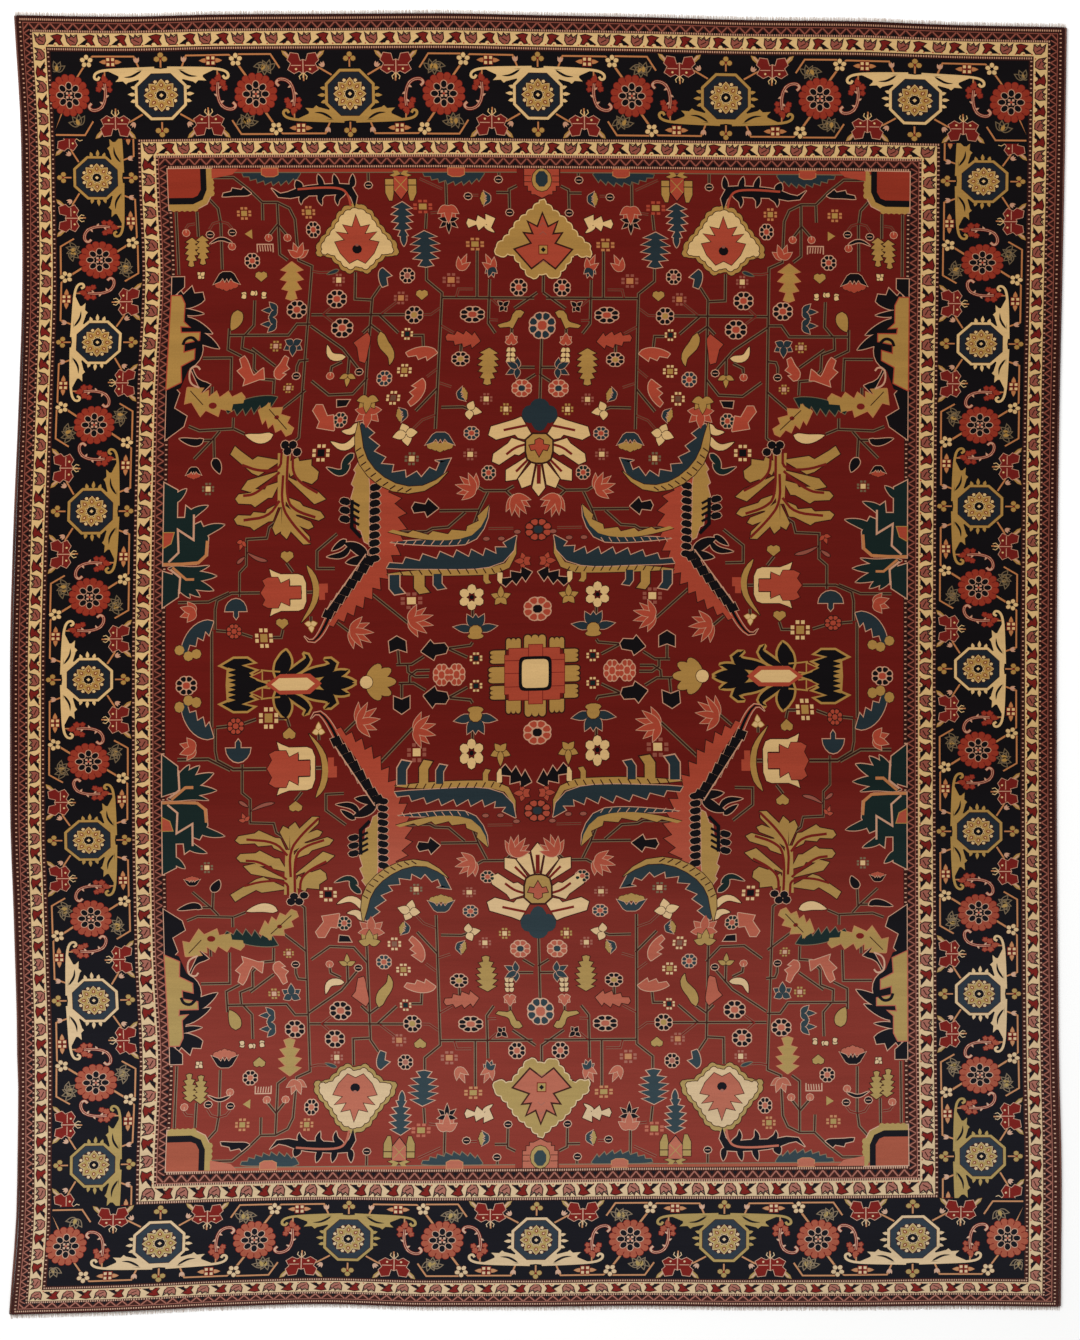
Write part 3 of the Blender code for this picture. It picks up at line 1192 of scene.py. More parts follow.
    def stamp_cut(self, unit: Motif, at: complex, side: Side, squeeze: float, flip: bool, count: int,
                  index: int) -> None:
        """Stamp one repeat, without the shapes that would run past the border's own length.

        Args:
            unit: the repeat.
            at: its place along the head border.
            side: the side that it goes to.
            squeeze: its scale along the border.
            flip: whether its arms point inwards.
            count: how many repeats the side has; not used.
            index: which one this is; not used.
        """
        ends = side in (Side.HEAD, Side.FOOT)
        limit = (FIELD_U + 117) if ends else (FIELD_V + 31)
        kept = Motif()
        for ring, yarn, level in unit.cells:
            reach = np.abs(at.real + ring.real * squeeze)
            if reach.max() < limit:
                kept.fill(ring, yarn, level)
            elif reach.min() < limit:
                clipped = ring.copy()
                s = at.real + ring.real * squeeze
                clipped.real = (np.clip(s, -limit, limit) - at.real) / squeeze
                kept.fill(clipped, yarn, level)
        self.cartoon.stamp(kept, at, side.value, squeeze, flip=flip, lift=1)

    def build(self) -> None:
        """Lay all the borders."""
        self.stripes()
        self.ticks()
        self.zigzags()
        self.guards()
        self.main_border()


@dataclass(frozen=True)
class Leaf:
    """One leaf of the field: its midrib from root to tip, its width, yarns and teeth."""

    rib: tuple[complex, ...]
    width: float
    yarn: Yarn
    edge: Yarn | None = None
    teeth: int = 0
    tooth: float = 0.0
    sides: tuple[int, ...] = (1, -1)
    full: float = 0.7


@dataclass(frozen=True)
class Patch:
    """One shape of the field that is charted corner by corner."""

    yarn: Yarn
    edge: Yarn | None
    ring: tuple[complex, ...]
    level: int = 2
    edging: float = 0.8


@dataclass(frozen=True)
class Sprig:
    """A small fan of petals: where its root lies, how far it is turned from +v, its petals and its yarns."""

    at: complex
    turn: float
    count: int
    reach: float
    width: float
    spread: float
    yarn: Yarn
    edge: Yarn
    level: int = 3


@dataclass(frozen=True)
class Flower:
    """A small flower of eight blocks round a heart."""

    at: complex
    size: complex
    petals: Yarn
    edge: Yarn | None
    heart: Yarn


DARK_FLOWERS = (
    Flower(20 + 382j, 17 + 17j, NAVY, CREAM, CORAL), Flower(66 + 354.6j, 25 + 16j, NAVY, CREAM, CORAL),
    Flower(125 + 354j, 18 + 17j, NAVY, CREAM, GOLD), Flower(133 + 393.4j, 15 + 15j, NAVY, CREAM, PINK),
    Flower(204 + 370j, 20 + 18j, NAVY, CREAM, CORAL), Flower(244 + 359.5j, 20 + 18j, NAVY, CREAM, CORAL),
    Flower(197 + 341j, 22 + 19j, NAVY, CREAM, CORAL), Flower(290 + 408.6j, 15 + 15j, NAVY, CREAM, CORAL),
    Flower(227 + 439.5j, 14 + 16j, NAVY, CREAM, CORAL), Flower(76 + 310j, 18 + 14j, NAVY, CREAM, GOLD),
    Flower(151 + 290.5j, 15 + 15j, SLATE, CREAM, CORAL), Flower(63 + 236j, 15 + 13j, SLATE, CREAM, CORAL),
    Flower(45.5 + 197j, 14 + 14j, GREEN, CREAM, CORAL), Flower(190 + 249j, 14 + 15j, GREEN, CREAM, CORAL),
    Flower(327 + 183.7j, 13 + 12j, VINE, None, IVORY), Flower(297.5 + 46j, 17 + 15j, CORAL, DARK, CORAL),
)
PALE_FLOWERS = (
    Flower(139 + 371j, 15 + 13j, PINK, None, TAN), Flower(88.6 + 389j, 18 + 14j, PINK, None, TAN),
    Flower(202.5 + 389j, 13 + 13j, PINK, None, IVORY), Flower(231 + 457j, 14 + 13j, TAN, None, GOLD),
    Flower(296 + 456j, 15 + 13j, TAN, None, GOLD), Flower(131 + 335j, 12 + 12j, IVORY, None, GREEN),
    Flower(131.6 + 298.5j, 15 + 13j, IVORY, None, GOLD), Flower(140 + 271j, 14 + 14j, IVORY, None, BARK),
    Flower(29 + 260j, 12 + 12j, GOLD, None, IVORY), Flower(49 + 270j, 13 + 12j, PINK, None, IVORY),
    Flower(64 + 215j, 14 + 12j, PINK, None, IVORY), Flower(117.3 + 211j, 13 + 13j, VINE, None, IVORY),
    Flower(205.7 + 217j, 18 + 17j, IVORY, None, NAVY), Flower(263 + 323j, 12 + 11j, GOLD, None, CREAM),
    Flower(246.6 + 281j, 11 + 10j, GOLD, None, CREAM), Flower(116 + 73j, 20 + 17j, PINK, None, IVORY),
    Flower(264.5 + 39j, 20 + 20j, IVORY, None, GOLD), Flower(56.5 + 13.8j, 13 + 12j, IVORY, None, GREEN),
    Flower(64 + 425j, 19 + 13j, TAN, None, GOLD), Flower(115.5 + 462.5j, 20 + 14j, CORAL, None, GOLD),
)
# Double stems: the main ones first, then the faint twigs.
STEMS = (
    (4 + 371.4j, 97 + 371.4j), (1 + 377j, 24 + 361j), (1 + 302j, 16 + 302j),
    (0 + 295j, 11 + 288j), (49.5 + 390j, 49.5 + 346j, 42 + 336j), (62 + 419j, 62 + 372j),
    (38 + 498j, 38 + 492j), (20 + 484j, 28 + 480j, 28 + 460j), (28 + 477j, 41 + 477j),
    (91.5 + 488j, 91.5 + 462j), (112 + 456j, 113.5 + 440j),
    (113.5 + 403j, 113.5 + 389j, 97.5 + 376j, 97.5 + 240j), (169.5 + 498j, 169.5 + 487j),
    (160 + 383j, 168 + 371j, 168 + 262j), (185.5 + 397j, 185.5 + 370j, 169 + 369j),
    (134 + 354.3j, 229 + 354.3j), (140 + 336j, 160 + 354j), (157 + 336j, 168 + 344j, 176 + 336j),
    (25.5 + 343j, 25.5 + 333j), (125 + 333.5j, 115 + 333.5j, 114 + 322j), (76 + 326j, 76 + 317j),
    (97.5 + 281j, 117 + 258j), (93 + 261.5j, 72 + 262j, 64 + 259j), (177 + 299j, 195 + 320j, 229 + 343j),
    (188 + 313j, 188 + 293j), (168 + 291j, 181 + 275j, 205 + 274j, 224 + 288j),
    (195 + 307j, 205 + 302j, 205.5 + 297j), (229 + 309j, 238 + 308j, 240 + 303j, 240 + 297j),
    (229 + 279j, 238 + 271j, 251 + 260j),
    (325 + 492j, 305 + 492j, 290 + 480j, 277 + 467j, 262 + 467j, 250 + 461j, 245 + 450j, 243 + 409j,
     229.5 + 403j, 229.5 + 232j, 235 + 227j),
    (277 + 466j, 277.5 + 449j), (262 + 466j, 262 + 415j, 254 + 409j), (262.5 + 445j, 254 + 434j),
    (262.5 + 445j, 272 + 434j), (330 + 470j, 322 + 461j, 320 + 446j, 320.5 + 400j),
    (343.5 + 458j, 343.5 + 433j), (364.5 + 458j, 364.5 + 395j), (287 + 369j, 286.5 + 344j, 295 + 334j),
    (311 + 341j, 311 + 320j, 297 + 313j), (229.5 + 345j, 243 + 345j, 251 + 334j, 311 + 334j),
    (296.5 + 333j, 297 + 321j, 284 + 316j, 283.5 + 300j, 274 + 290j, 262 + 289j, 261.5 + 275j),
    (287 + 321j, 262 + 303j),
    (336 + 311.5j, 307 + 311.5j, 306 + 279j), (325 + 283j, 325 + 272j),
    (302 + 252j, 302 + 241j, 337 + 239.5j, 348 + 244j), (301 + 241j, 289 + 236j),
    (316 + 239j, 323 + 231j, 342 + 212j), (322 + 232j, 321 + 210j), (324 + 230j, 335 + 230j),
    (20 + 184j, 28 + 179.5j, 50 + 179.5j, 61 + 186j), (28 + 179.5j, 20 + 172j),
    (46 + 178j, 54 + 162j, 61 + 143j), (54 + 160.5j, 92 + 160.5j),
    (68 + 159j, 84 + 144.5j, 98 + 143.5j, 103 + 140.5j, 126 + 140.5j),
    (187 + 140j, 207 + 124j, 207 + 107j, 189 + 106.5j),
    (250 + 152j, 257 + 147j, 259.5 + 137j, 283 + 136j, 283 + 111j, 291 + 104j, 291 + 80j),
    (231 + 104j, 238 + 113j), (243.5 + 47j, 246 + 39.5j, 255 + 39.5j),
    (277 + 40j, 290 + 44j), (306 + 46j, 317 + 47j), (267 + 84j, 300 + 84j, 316 + 77j, 318 + 68j, 318 + 48j),
    (303 + 84.5j, 325 + 75.5j, 356 + 75.5j), (321.5 + 47j, 321.5 - 4j), (211 + 84j, 218 + 84j),
    (214 + 60j, 214.4 + 53j), (60 + 66j, 60 + 54j), (84 + 24.5j, 62 + 27j, 60 + 30j), (84 + 24.5j, 65 + 15j),
    (107 + 17j, 119 + 9.5j, 134 + 9.5j), (131 + 9j, 131 + 24j), (123 + 9j, 123 + 2j, 116 - 3j, 103 - 3j),
    (120 + 51j, 154 + 82j), (171 + 38.5j, 188 + 53j),
)
TWIGS = (
    (95 + 480j, 118 + 490.5j), (66 + 474j, 59 + 474j), (100 + 457j, 108 + 456j),
    (66 + 380j, 81 + 380j, 83 + 372j), (48 + 371j, 40 + 364j), (49 + 349.5j, 40 + 349j),
    (97.5 + 343.5j, 84 + 336j), (143 + 367j, 158 + 355j), (99 + 361j, 108 + 354.5j, 116 + 354.3j),
    (99 + 300j, 109 + 292j), (96 + 286j, 84 + 282j), (98 + 254j, 110 + 249j, 118 + 240j),
    (229 + 398j, 222 + 396.5j, 211 + 397j), (210 + 361j, 217 + 354.5j, 207 + 347j),
    (320 + 448j, 313 + 446j, 309 + 441j), (321 + 448j, 328 + 446j, 332 + 440j),
    (346 + 446j, 353 + 445j, 356 + 441j), (20 + 142.5j, 45 + 142.5j),
)
SMALL_LEAVES = (
    Leaf((136 + 467j, 137 + 450j, 136.5 + 432j), 7, SLATE, CREAM, 5, 7),
    Leaf((136 + 435j, 136 + 423j), 6, SLATE, CREAM),
    Leaf((115 + 438j, 114.5 + 420j, 114 + 402j), 9, SLATE, CREAM, 5, 10, full=0.9),
    Leaf((43 + 451j, 52 + 446.5j, 72 + 446j), 4, IVORY, DARK, 3, 6),
    Leaf((54 + 444j, 44 + 437j), 4, IVORY, DARK),
    Leaf((14 + 357j, 22 + 357j, 24 + 345j, 40 + 344j), 6.5, GOLD, DARK, 3, 2.5, (-1,)),
    Leaf((47.5 + 321j, 48.5 + 284j), 11, GOLD, DARK, 6, 5),
    Leaf((158 + 337j, 155 + 325j, 149 + 319j, 145 + 312j, 147 + 304j), 10, GOLD, DARK),
    Leaf((304 + 359j, 303.5 + 350j, 309 + 339j), 12, GOLD, DARK),
    Leaf((203 + 399j, 214 + 395j), 3, SLATE, VINE),
    Leaf((259 + 115j, 270 + 117j, 282 + 123j), 3.4, PINK, DARK),
    Leaf((294 + 113j, 285 + 119j), 3.4, PINK, DARK),
    Leaf((217 + 110j, 209 + 97j, 207 + 84j, 211 + 70j, 224 + 54j), 6, GOLD, DARK),
    Leaf((274 + 301j, 282 + 288j, 290 + 293j, 294 + 313j), 9, CORAL, CREAM, 4, 5, (-1,), 1.1),
    Leaf((256 + 290j, 260 + 296j, 254 + 303j, 253 + 313j), 8, CORAL, CREAM, 3, 4, (1,)),
    Leaf((195 + 239j, 206 + 248j, 216 + 264j), 9, CORAL, CREAM, 2, 5),
    Leaf((257 + 235j, 270 + 230j, 288 + 235j), 9.5, IVORY, DARK),
    Leaf((333 + 231j, 340 + 227j, 357 + 232j), 7, NAVY, CREAM),
    Leaf((322 + 212j, 317 + 204j, 315 + 198j), 9, NAVY, CREAM),
    Leaf((1 + 99j, 14 + 96j, 31 + 88j), 3.5, NAVY, CREAM, 3, 6),
    Leaf((57 + 328j, 92 + 332j), 9, CORAL, DARK, 4, 4),
    Leaf((100 + 316j, 115 + 318j, 131 + 316j), 9, CORAL, CREAM, 3, 4, (-1,)),
    Leaf((113 + 290j, 114 + 277j, 122 + 263j), 8, CORAL, CREAM, 3, 5, (1,)),
    Leaf((171 + 336j, 176 + 322j, 172 + 306j), 12, CORAL, DARK, 2, 4, (1,)),
    Leaf((158 + 401j, 158 + 382j), 8, SLATE, CREAM, 2, 5, (-1,)),
    Leaf((192 + 312j, 207 + 311j, 211 + 324j), 7, IVORY, DARK),
    Leaf((320 + 56j, 336 + 49j, 347 + 36j, 352 + 25j), 11, SLATE, CREAM, 4, 6, (-1,)),
    Leaf((250 + 407j, 250 + 369j), 8, GOLD, TAN, 4, 7), Leaf((339.5 + 434j, 340 + 405j), 6, GOLD, DARK, 5, 4),
    Leaf((350 + 432j, 352 + 403j), 6, GOLD, DARK, 5, 4),
    Leaf((310 + 427j, 321 + 432j, 332 + 426j), 3, NAVY, CREAM),
    Leaf((93 + 163j, 116 + 164j), 7, NAVY, CREAM, 2, 5), Leaf((109 + 22j, 84 + 25j), 12, NAVY, CREAM, 2, 4),
)
SPRIGS = (
    Sprig(46 + 399j, -25, 3, 17, 5.5, 60, CORAL, CREAM), Sprig(80 + 399j, 25, 3, 17, 5.5, 60, CORAL, CREAM),
    Sprig(48 + 402j, 180, 4, 11, 5, 90, SLATE, CREAM), Sprig(90 + 463j, 180, 5, 17, 7, 110, CORAL, CREAM, 5),
    Sprig(90 + 449j, 180, 5, 13, 4.5, 200, NAVY, CREAM), Sprig(35 + 363j, 0, 4, 8, 4.5, 290, NAVY, CREAM),
    Sprig(18 + 301j, -90, 4, 14, 6, 170, SLATE, CREAM), Sprig(288 + 134j, 200, 3, 9, 4, 120, CORAL, DARK),
    Sprig(338 + 66j, -90, 4, 17, 7, 100, CORAL, CREAM), Sprig(243 + 412j, 0, 4, 16, 6, 110, CORAL, CREAM),
    Sprig(264 + 359j, -90, 3, 15, 6, 90, SLATE, CREAM), Sprig(264 + 345j, -90, 3, 15, 6, 90, SLATE, CREAM),
    Sprig(32 + 74j, 0, 5, 12, 6, 280, GOLD, DARK), Sprig(9 + 110j, -90, 5, 10, 5.5, 300, CORAL, DARK),
    Sprig(58 + 180j, -62, 6, 21, 6, 125, CORAL, CREAM), Sprig(20 + 175j, 155, 6, 23, 6, 100, CORAL, CREAM),
    Sprig(119 + 53j, 90, 6, 23, 6, 130, CORAL, CREAM), Sprig(176 + 45j, 110, 6, 24, 6, 130, CORAL, CREAM),
    Sprig(25.5 + 328j, 0, 5, 8, 6, 200, CORAL, CREAM),
    *(Sprig(25.5 + height, 180, 2, 7.5, 4.5, 110, IVORY, DARK) for height in (321j, 316j, 311j)),
    Sprig(163 + 258j, 180, 5, 17, 8, 190, CORAL, CREAM),
    Sprig(165 + 271j, 180, 5, 15, 7.5, 150, GOLD, DARK, 6),
    Sprig(245.5 + 325j, 180, 5, 12, 7, 230, SLATE, CREAM), Sprig(188 + 294j, 180, 3, 12, 5, 130, GOLD, DARK),
    Sprig(66 + 259j, 100, 3, 13, 8, 150, IVORY, DARK), Sprig(124 + 236j, -150, 4, 14, 9, 250, IVORY, DARK),
    Sprig(342 + 394j, 0, 4, 5.5, 4, 270, IVORY, DARK), Sprig(280 + 374j, 90, 2, 7, 5, 60, IVORY, DARK),
    Sprig(288 + 374j, 0, 2, 7, 5, 60, IVORY, DARK), Sprig(296 + 374j, -90, 2, 7, 5, 60, IVORY, DARK),
    Sprig(214.4 + 52j, 180, 3, 8, 5, 200, IVORY, GOLD),
)


@dataclass
class Field:
    """The red field: a lattice of stems that carries palmettes, leaves and small flowers.

    One quarter of it is charted and the other three are its mirror images. The shapes on the middle lines are
    charted whole.
    """

    cartoon: Cartoon
    ornaments: Ornaments
    # The quarter is charted from a line a little right of the rug's middle.
    axis_shift: float = 2.0
    # The middle line of the lotuses and shields lies a little further right.
    spine_shift: complex = 3 + 0j
    # In the foot half the quarter's shapes lie further from the middle: at which heights, and how far.
    drop_heights: tuple[float, ...] = (20.0, 75.0, 100.0, 190.0, 222.0, 300.0, 430.0)
    drops: tuple[float, ...] = (0.0, 6.0, 13.0, 12.0, 8.0, 3.0, 0.0)
    # In the upper left and the lower right quarters the shapes round one place lie further out.
    sway: float = 10.0
    sway_middle: complex = 195 + 140j
    sway_reach: complex = 95 + 125j
    quarter: Motif = field(default_factory=Motif)
    spine: Motif = field(default_factory=Motif)
    waist: Motif = field(default_factory=Motif)

    def leaves(self, onto: Motif, rows: Iterable[Leaf], lift: int = 3) -> None:
        """Draw a list of leaves.

        Args:
            onto: the motif that they go to.
            rows: the leaves.
            lift: their layer.
        """
        for row in rows:
            ring = blade(row.rib, row.width, row.teeth, row.tooth, row.sides, row.full)
            onto.shape(ring, row.yarn, row.edge, 0.8, lift)

    def patches(self, onto: Motif, rows: Iterable[Patch]) -> None:
        """Draw a list of charted shapes onto a motif."""
        for row in rows:
            onto.shape(row.ring, row.yarn, row.edge, row.edging, row.level + 1)

    def sprigs(self, onto: Motif, rows: Iterable[Sprig]) -> None:
        """Draw a list of small fans of petals onto a motif."""
        for row in rows:
            fan = self.ornaments.spray(row.count, row.reach, row.width, row.yarn, row.edge, row.spread)
            onto.add(fan, row.at, row.turn, lift=row.level)

    def stems(self) -> None:
        """Draw the double stems and the faint twigs."""
        for path in STEMS:
            self.quarter.line(path, 3.1, VINE, 1).line(path, 1.5, DARK, 2)
        for path in ((396j, 377j), (334j, 258j)):
            self.spine.line(path, 3.1, VINE, 1).line(path, 1.5, DARK, 2)
        for path in TWIGS:
            self.quarter.line(path, 2.7, BARK, 1).line(path, 1.3, WINE, 2)

    def flowers(self) -> None:
        """Draw the small eight-block flowers, the crossed buds and the hearts."""
        for row in (*DARK_FLOWERS, *PALE_FLOWERS):
            self.quarter.add(self.ornaments.flower(row), row.at, lift=2)
        bud = Motif().shape(loop(3.8, 3.3, 8), NAVY, CREAM, 0.8).line([-2.4 + 0j, 2.4 + 0j], 0.7, CREAM, 3)
        for at in (38.5 + 490j, 169.5 + 484j, 28 + 457j, 69.5 + 473j, 309 + 437j, 331.5 + 435j, 177 + 297j,
                   240 + 293j):
            self.quarter.add(bud, at, lift=2)
        coral = Motif().shape(loop(3.6, 3.4, 8), CORAL, CREAM, 0.6).line([0j, 4j], 0.8, CREAM, 3)
        for at in (253.5 + 431.5j, 272.5 + 431.5j, 205.7 + 293j, 355.6 + 437j, 310 + 423j):
            self.quarter.add(coral, at, lift=2)
        heart = self.ornaments.heart(12, 10, GOLD)
        for at, size in ((117.8 + 374j, 1), (281 + 392.7j, 1), (237.4 + 118.8j, 1.1), (243.8 + 53j, 1.05)):
            self.quarter.add(heart, at, size=size, lift=3)

    def head_edge(self) -> None:
        """Draw the coral line along the field's end with its bushes, and the corner's quarter rosette."""
        quarter = self.quarter
        self.patches(quarter, (
            Patch(BRICK, None, (20 + 501j, 371 + 501j, 371 + 498j, 20 + 498j)),
            Patch(VINE, None, (20 + 498j, 371 + 498j, 371 + 497j, 20 + 497j)),
            Patch(CORAL, None, (300 + 501j, 327 + 501j, 327 + 491j, 306 + 495j), 3),
            Patch(CORAL, NAVY, (130 + 493j, 144 + 493j, 144 + 479j, 137 + 470j, 130 + 479j), 3),
        ))
        self.leaves(quarter, (
            Leaf((53 + 496j, 83 + 492j, 114 + 496j), 10, SLATE, VINE, 8, 4, (-1,)),
            Leaf((238 + 496j, 267 + 492j, 296 + 496j), 10, SLATE, VINE, 8, 4, (-1,)),
            Leaf((288 + 476j, 303 + 477j, 317 + 473j), 6, NAVY, CREAM, 3, 3, (1,)),
        ), 2)
        for middle in (81, 268.5):
            dome = smooth([middle + p for p in (-8 + 501j, -8 + 493j, 8 + 493j, 8 + 501j)], 1)
            quarter.shape(dome, CORAL, TAN, 0.8, 4)
        wing = (7.5 + 20j, 15.5 + 20j, 15.5 + 6j, 12 - 1.5j, 9 - 1.5j, 7.5 + 6j)
        tuft = (0 + 25j, 3 + 28.5j, 8 + 28.5j, 6 + 26j, 11 + 24j, 7 + 22.5j)
        side = Motif().shape(wing, GOLD, DARK, 0.7, 3).shape(tuft, GOLD, DARK, 0.6, 3)
        side.line((6.5 + 14j, 15.5 + 14j), 0.9, DARK, 6)
        shield = 137 + 470j
        quarter.add(side, shield).add(side, shield, mirror=True)
        for low, high in ((131 + 478j, 143 + 491j), (143 + 478j, 131 + 491j)):
            quarter.line((low, high), 0.8, GOLD, 6)
        quarter.shape((371 + 501j, 327 + 501j, 327 + 477j, 333 + 466j, 345 + 460j, 371 + 460j), GOLD, CREAM,
                      0.9, 3)
        for k in range(5):
            quarter.fill(loop(3.4, 3.4, 8, 328 + (498 - 5.4 * k) * 1j), GOLD, 4)
            quarter.fill(loop(3.4, 3.4, 8, 345 + 5.4 * k + 461.5j), GOLD, 4)
        quarter.fill((371 + 501j, 332.5 + 501j, 332.5 + 480j, 337 + 470j, 347 + 465.5j, 371 + 465.5j), NAVY,
                     5)
        quarter.fill((371 + 501j, 338.5 + 501j, 338.5 + 480j, 342 + 474j, 347 + 472j, 371 + 472j), BRICK, 6)
        steps = (0 + 501j, 17.5 + 501j, 17.5 + 484j, 14 + 484j, 14 + 479j, 10.5 + 479j, 10.5 + 475.5j,
                 7 + 475.5j, 0 + 472j)
        self.spine.shape(doubled(steps), CORAL, DARK, 0.7, 3)
        self.spine.shape(loop(9.8, 11.5, 12, 490j), GOLD, DARK, 0.7, 5)
        self.spine.shape(loop(6.6, 8.4, 8, 491j, 22.5), SLATE, GOLD, 0.6, 7)
        for height in (494j, 488j):
            for reach in (-14, 14):
                self.spine.line((reach - 3.5 + height, reach + 3.5 + height), 0.7, DARK, 6)

    def shields(self) -> None:
        """Draw the gold shield on the middle line and the ivory one beside it."""
        rim = doubled((0 + 469j, 9 + 460j, 24 + 448j, 34 + 434j, 47 + 422j, 46 + 414j, 31 + 417j, 18 + 400j,
                       12 + 392j, 0 + 398j))
        leaf = doubled((0 + 455j, 5 + 442j, 14 + 447j, 9 + 435j, 18 + 436j, 11 + 426j, 28 + 420j, 12 + 402j,
                        0 + 411j))
        gold = self.spine
        rim = ruffled(rim[::-1], 30, 2.2)
        gold.line(rim, 3.6, DARK, 2, closed=True)
        gold.shape(rim, GOLD, IVORY, 1.1, 3).shape(leaf, CORAL, DARK, 1.7, 5)
        gold.shape(loop(5.6, 5.6, 4, 420j, 45), GOLD, WINE, 0.9, 7).fill(loop(2.6, 2.6, 4, 420j, 0), NAVY, 9)
        for height, reach in ((447, 3), (438, 3.5), (409, 4)):
            gold.line((-reach + (height - 3) * 1j, height * 1j, reach + (height - 3) * 1j), 0.8, PINK, 7)
        rim = smooth(doubled((0 + 38j, 14 + 32j, 22 + 19j, 30 + 8j, 40 - 3j, 41 - 15j, 30 - 13j, 20 - 22j,
                              12 - 31j, 6 - 31j, 0 - 27j)), 1, closed=True)
        flame = doubled((0 + 26j, 4 + 14j, 13 + 16j, 8 + 7j, 20 + 9j, 12 + 1j, 22 - 1j, 17 - 12j, 8 - 22j,
                         0 - 18j))
        rim = ruffled(rim[::-1], 24, 1.6)
        ivory = Motif().shape(rim, GOLD, DARK, 0.8, 3).shape(rim * 0.87, IVORY, DARK, 0.8, 5)
        ivory.shape(flame, CORAL, DARK, 0.7, 7).fill(loop(5, 4.6, 10, -8j), NAVY, 9)
        ivory.fill(loop(2, 1.5, 6, -4j), PINK, 9)
        self.quarter.add(ivory, 183.5 + 428j)

    def arabesques(self) -> None:
        """Draw the navy, the gold and green and the slate split leaves, and the coral flame."""
        quarter = self.quarter
        self.leaves(quarter, (
            Leaf((184 + 462j, 184 + 474j, 189 + 482j, 200 + 480j, 230 + 479j, 246 + 476j, 257 + 471j,
                  267 + 481j), 11, NAVY, CREAM, full=0.8),
            Leaf((186 + 482j, 185 + 495j), 6, NAVY, CREAM), Leaf((201 + 482j, 204 + 495j), 6, NAVY, CREAM),
            Leaf((216 + 482j, 220 + 495j), 6, NAVY, CREAM), Leaf((238 + 480j, 242 + 489j), 8, NAVY, CREAM),
            Leaf((193 + 478j, 202 + 472j, 201 + 464j), 6, NAVY, CREAM),
            Leaf((212 + 478j, 220 + 473j, 217 + 464j), 6, NAVY, CREAM),
            Leaf((229 + 477j, 238 + 472j, 238 + 465j), 6, NAVY, CREAM),
        ))
        quarter.line(smooth((188 + 463j, 190 + 474j, 196 + 481j, 215 + 482j, 241 + 480j)), 2.2, CORAL, 7)
        self.leaves(quarter, (
            Leaf((168 + 246j, 163 + 225j, 152 + 203j, 138 + 192j, 120 + 186j, 104 + 189j, 92 + 197j,
                  83 + 207j, 86 + 215j, 96 + 209j), 12, SLATE, CREAM, 9, 7, (-1,), 0.6),
            Leaf((172 + 234j, 175 + 226j, 184 + 221j, 197 + 228j), 7, IVORY, DARK),
            Leaf((172 + 246j, 176 + 237j, 187 + 238j), 7, IVORY, DARK),
            Leaf((173 + 216j, 181 + 208j, 183 + 199j), 7, GREEN, CREAM),
            Leaf((176 + 206j, 184 + 196j, 199 + 203j), 6, GREEN, CREAM),
            Leaf((164 + 212j, 163 + 190j, 163 + 160j, 156 + 130j), 15, GOLD, CREAM, 6, 3, (1,), 0.8),
            Leaf((157 + 118j, 168 + 127j, 180 + 131j), 10, NAVY, CREAM),
            Leaf((157 + 115j, 178 + 112j), 9, NAVY, CREAM),
            Leaf((174 + 128j, 180 + 119j, 197 + 118j), 6, NAVY, CREAM),
            Leaf((178 + 134j, 192 + 124j), 6, NAVY, CREAM),
        ), 5)
        cord = (171 + 247j, 169 + 222j, 161 + 204j, 146 + 190j, 130 + 182j, 112 + 180j, 97 + 186j, 85 + 198j)
        self.leaves(quarter, (Leaf(cord, 9, GOLD, DARK),), 7)
        for spot in resample(np.array(cord), np.linspace(0.2, 0.7, 10)):
            quarter.line((spot - 2.5 + 1.5j, spot + 2.5 - 2j), 1.2, DARK, 9)
        flame = (157 + 194j, 143 + 176j, 136 + 155j, 140 + 130j, 149 + 105j, 167 + 78j, 197 + 51j)
        self.leaves(quarter, (Leaf(flame, 19, CORAL, DARK, 15, 8, (-1,), 0.75),), 2)
        leaflet = Motif().shape(smooth((0j, -9 + 2j, -12 - 4j, -1 - 7j), 1, closed=True), NAVY, CREAM, 0.55)
        for k in range(10):
            quarter.add(leaflet, 155.5 + (186 - 7.6 * k) * 1j, lift=4)
        for k in range(3):
            quarter.add(leaflet, 174 + (173 - 8.4 * k) * 1j, mirror=True, lift=4)
        quarter.line((172.5 + 172j, 172.5 + 146j, 163 + 136j), 3.6, NAVY, 8)
        for k in range(4):
            quarter.line((172 + (170 - 6 * k) * 1j, 165 + (166 - 6 * k) * 1j), 2.6, NAVY, 8)
        block = Motif().shape((0j, 9 + 3j, 13 - 5j, 4 - 8j), NAVY, CREAM, 0.5)
        for k in range(8):
            quarter.add(block, 148 + 6 * k + (116 - 7.4 * k) * 1j, lift=4)
        quarter.line((158 + 120j, 198 + 66j), 1.2, CREAM, 7)
        self.leaves(quarter, (
            Leaf((257 + 272j, 284 + 267j, 311 + 261j), 9, GREEN, VINE, 6, 7, (-1,), 0.9),
            Leaf((350 + 282j, 336 + 265j, 314 + 266j, 291 + 272j), 12, GOLD, TAN, 5, 7),
            Leaf((275 + 259j, 258 + 254j, 238 + 236j), 11, GOLD, TAN, 4, 6),
        ), 5)
        hook = (190 + 73j, 197 + 56j, 207 + 40j, 216 + 33j, 222 + 40j)
        self.leaves(quarter, (Leaf(hook, 5.5, CORAL, CREAM),), 3)
        self.leaves(quarter, (Leaf(hook, 3, NAVY),), 6)
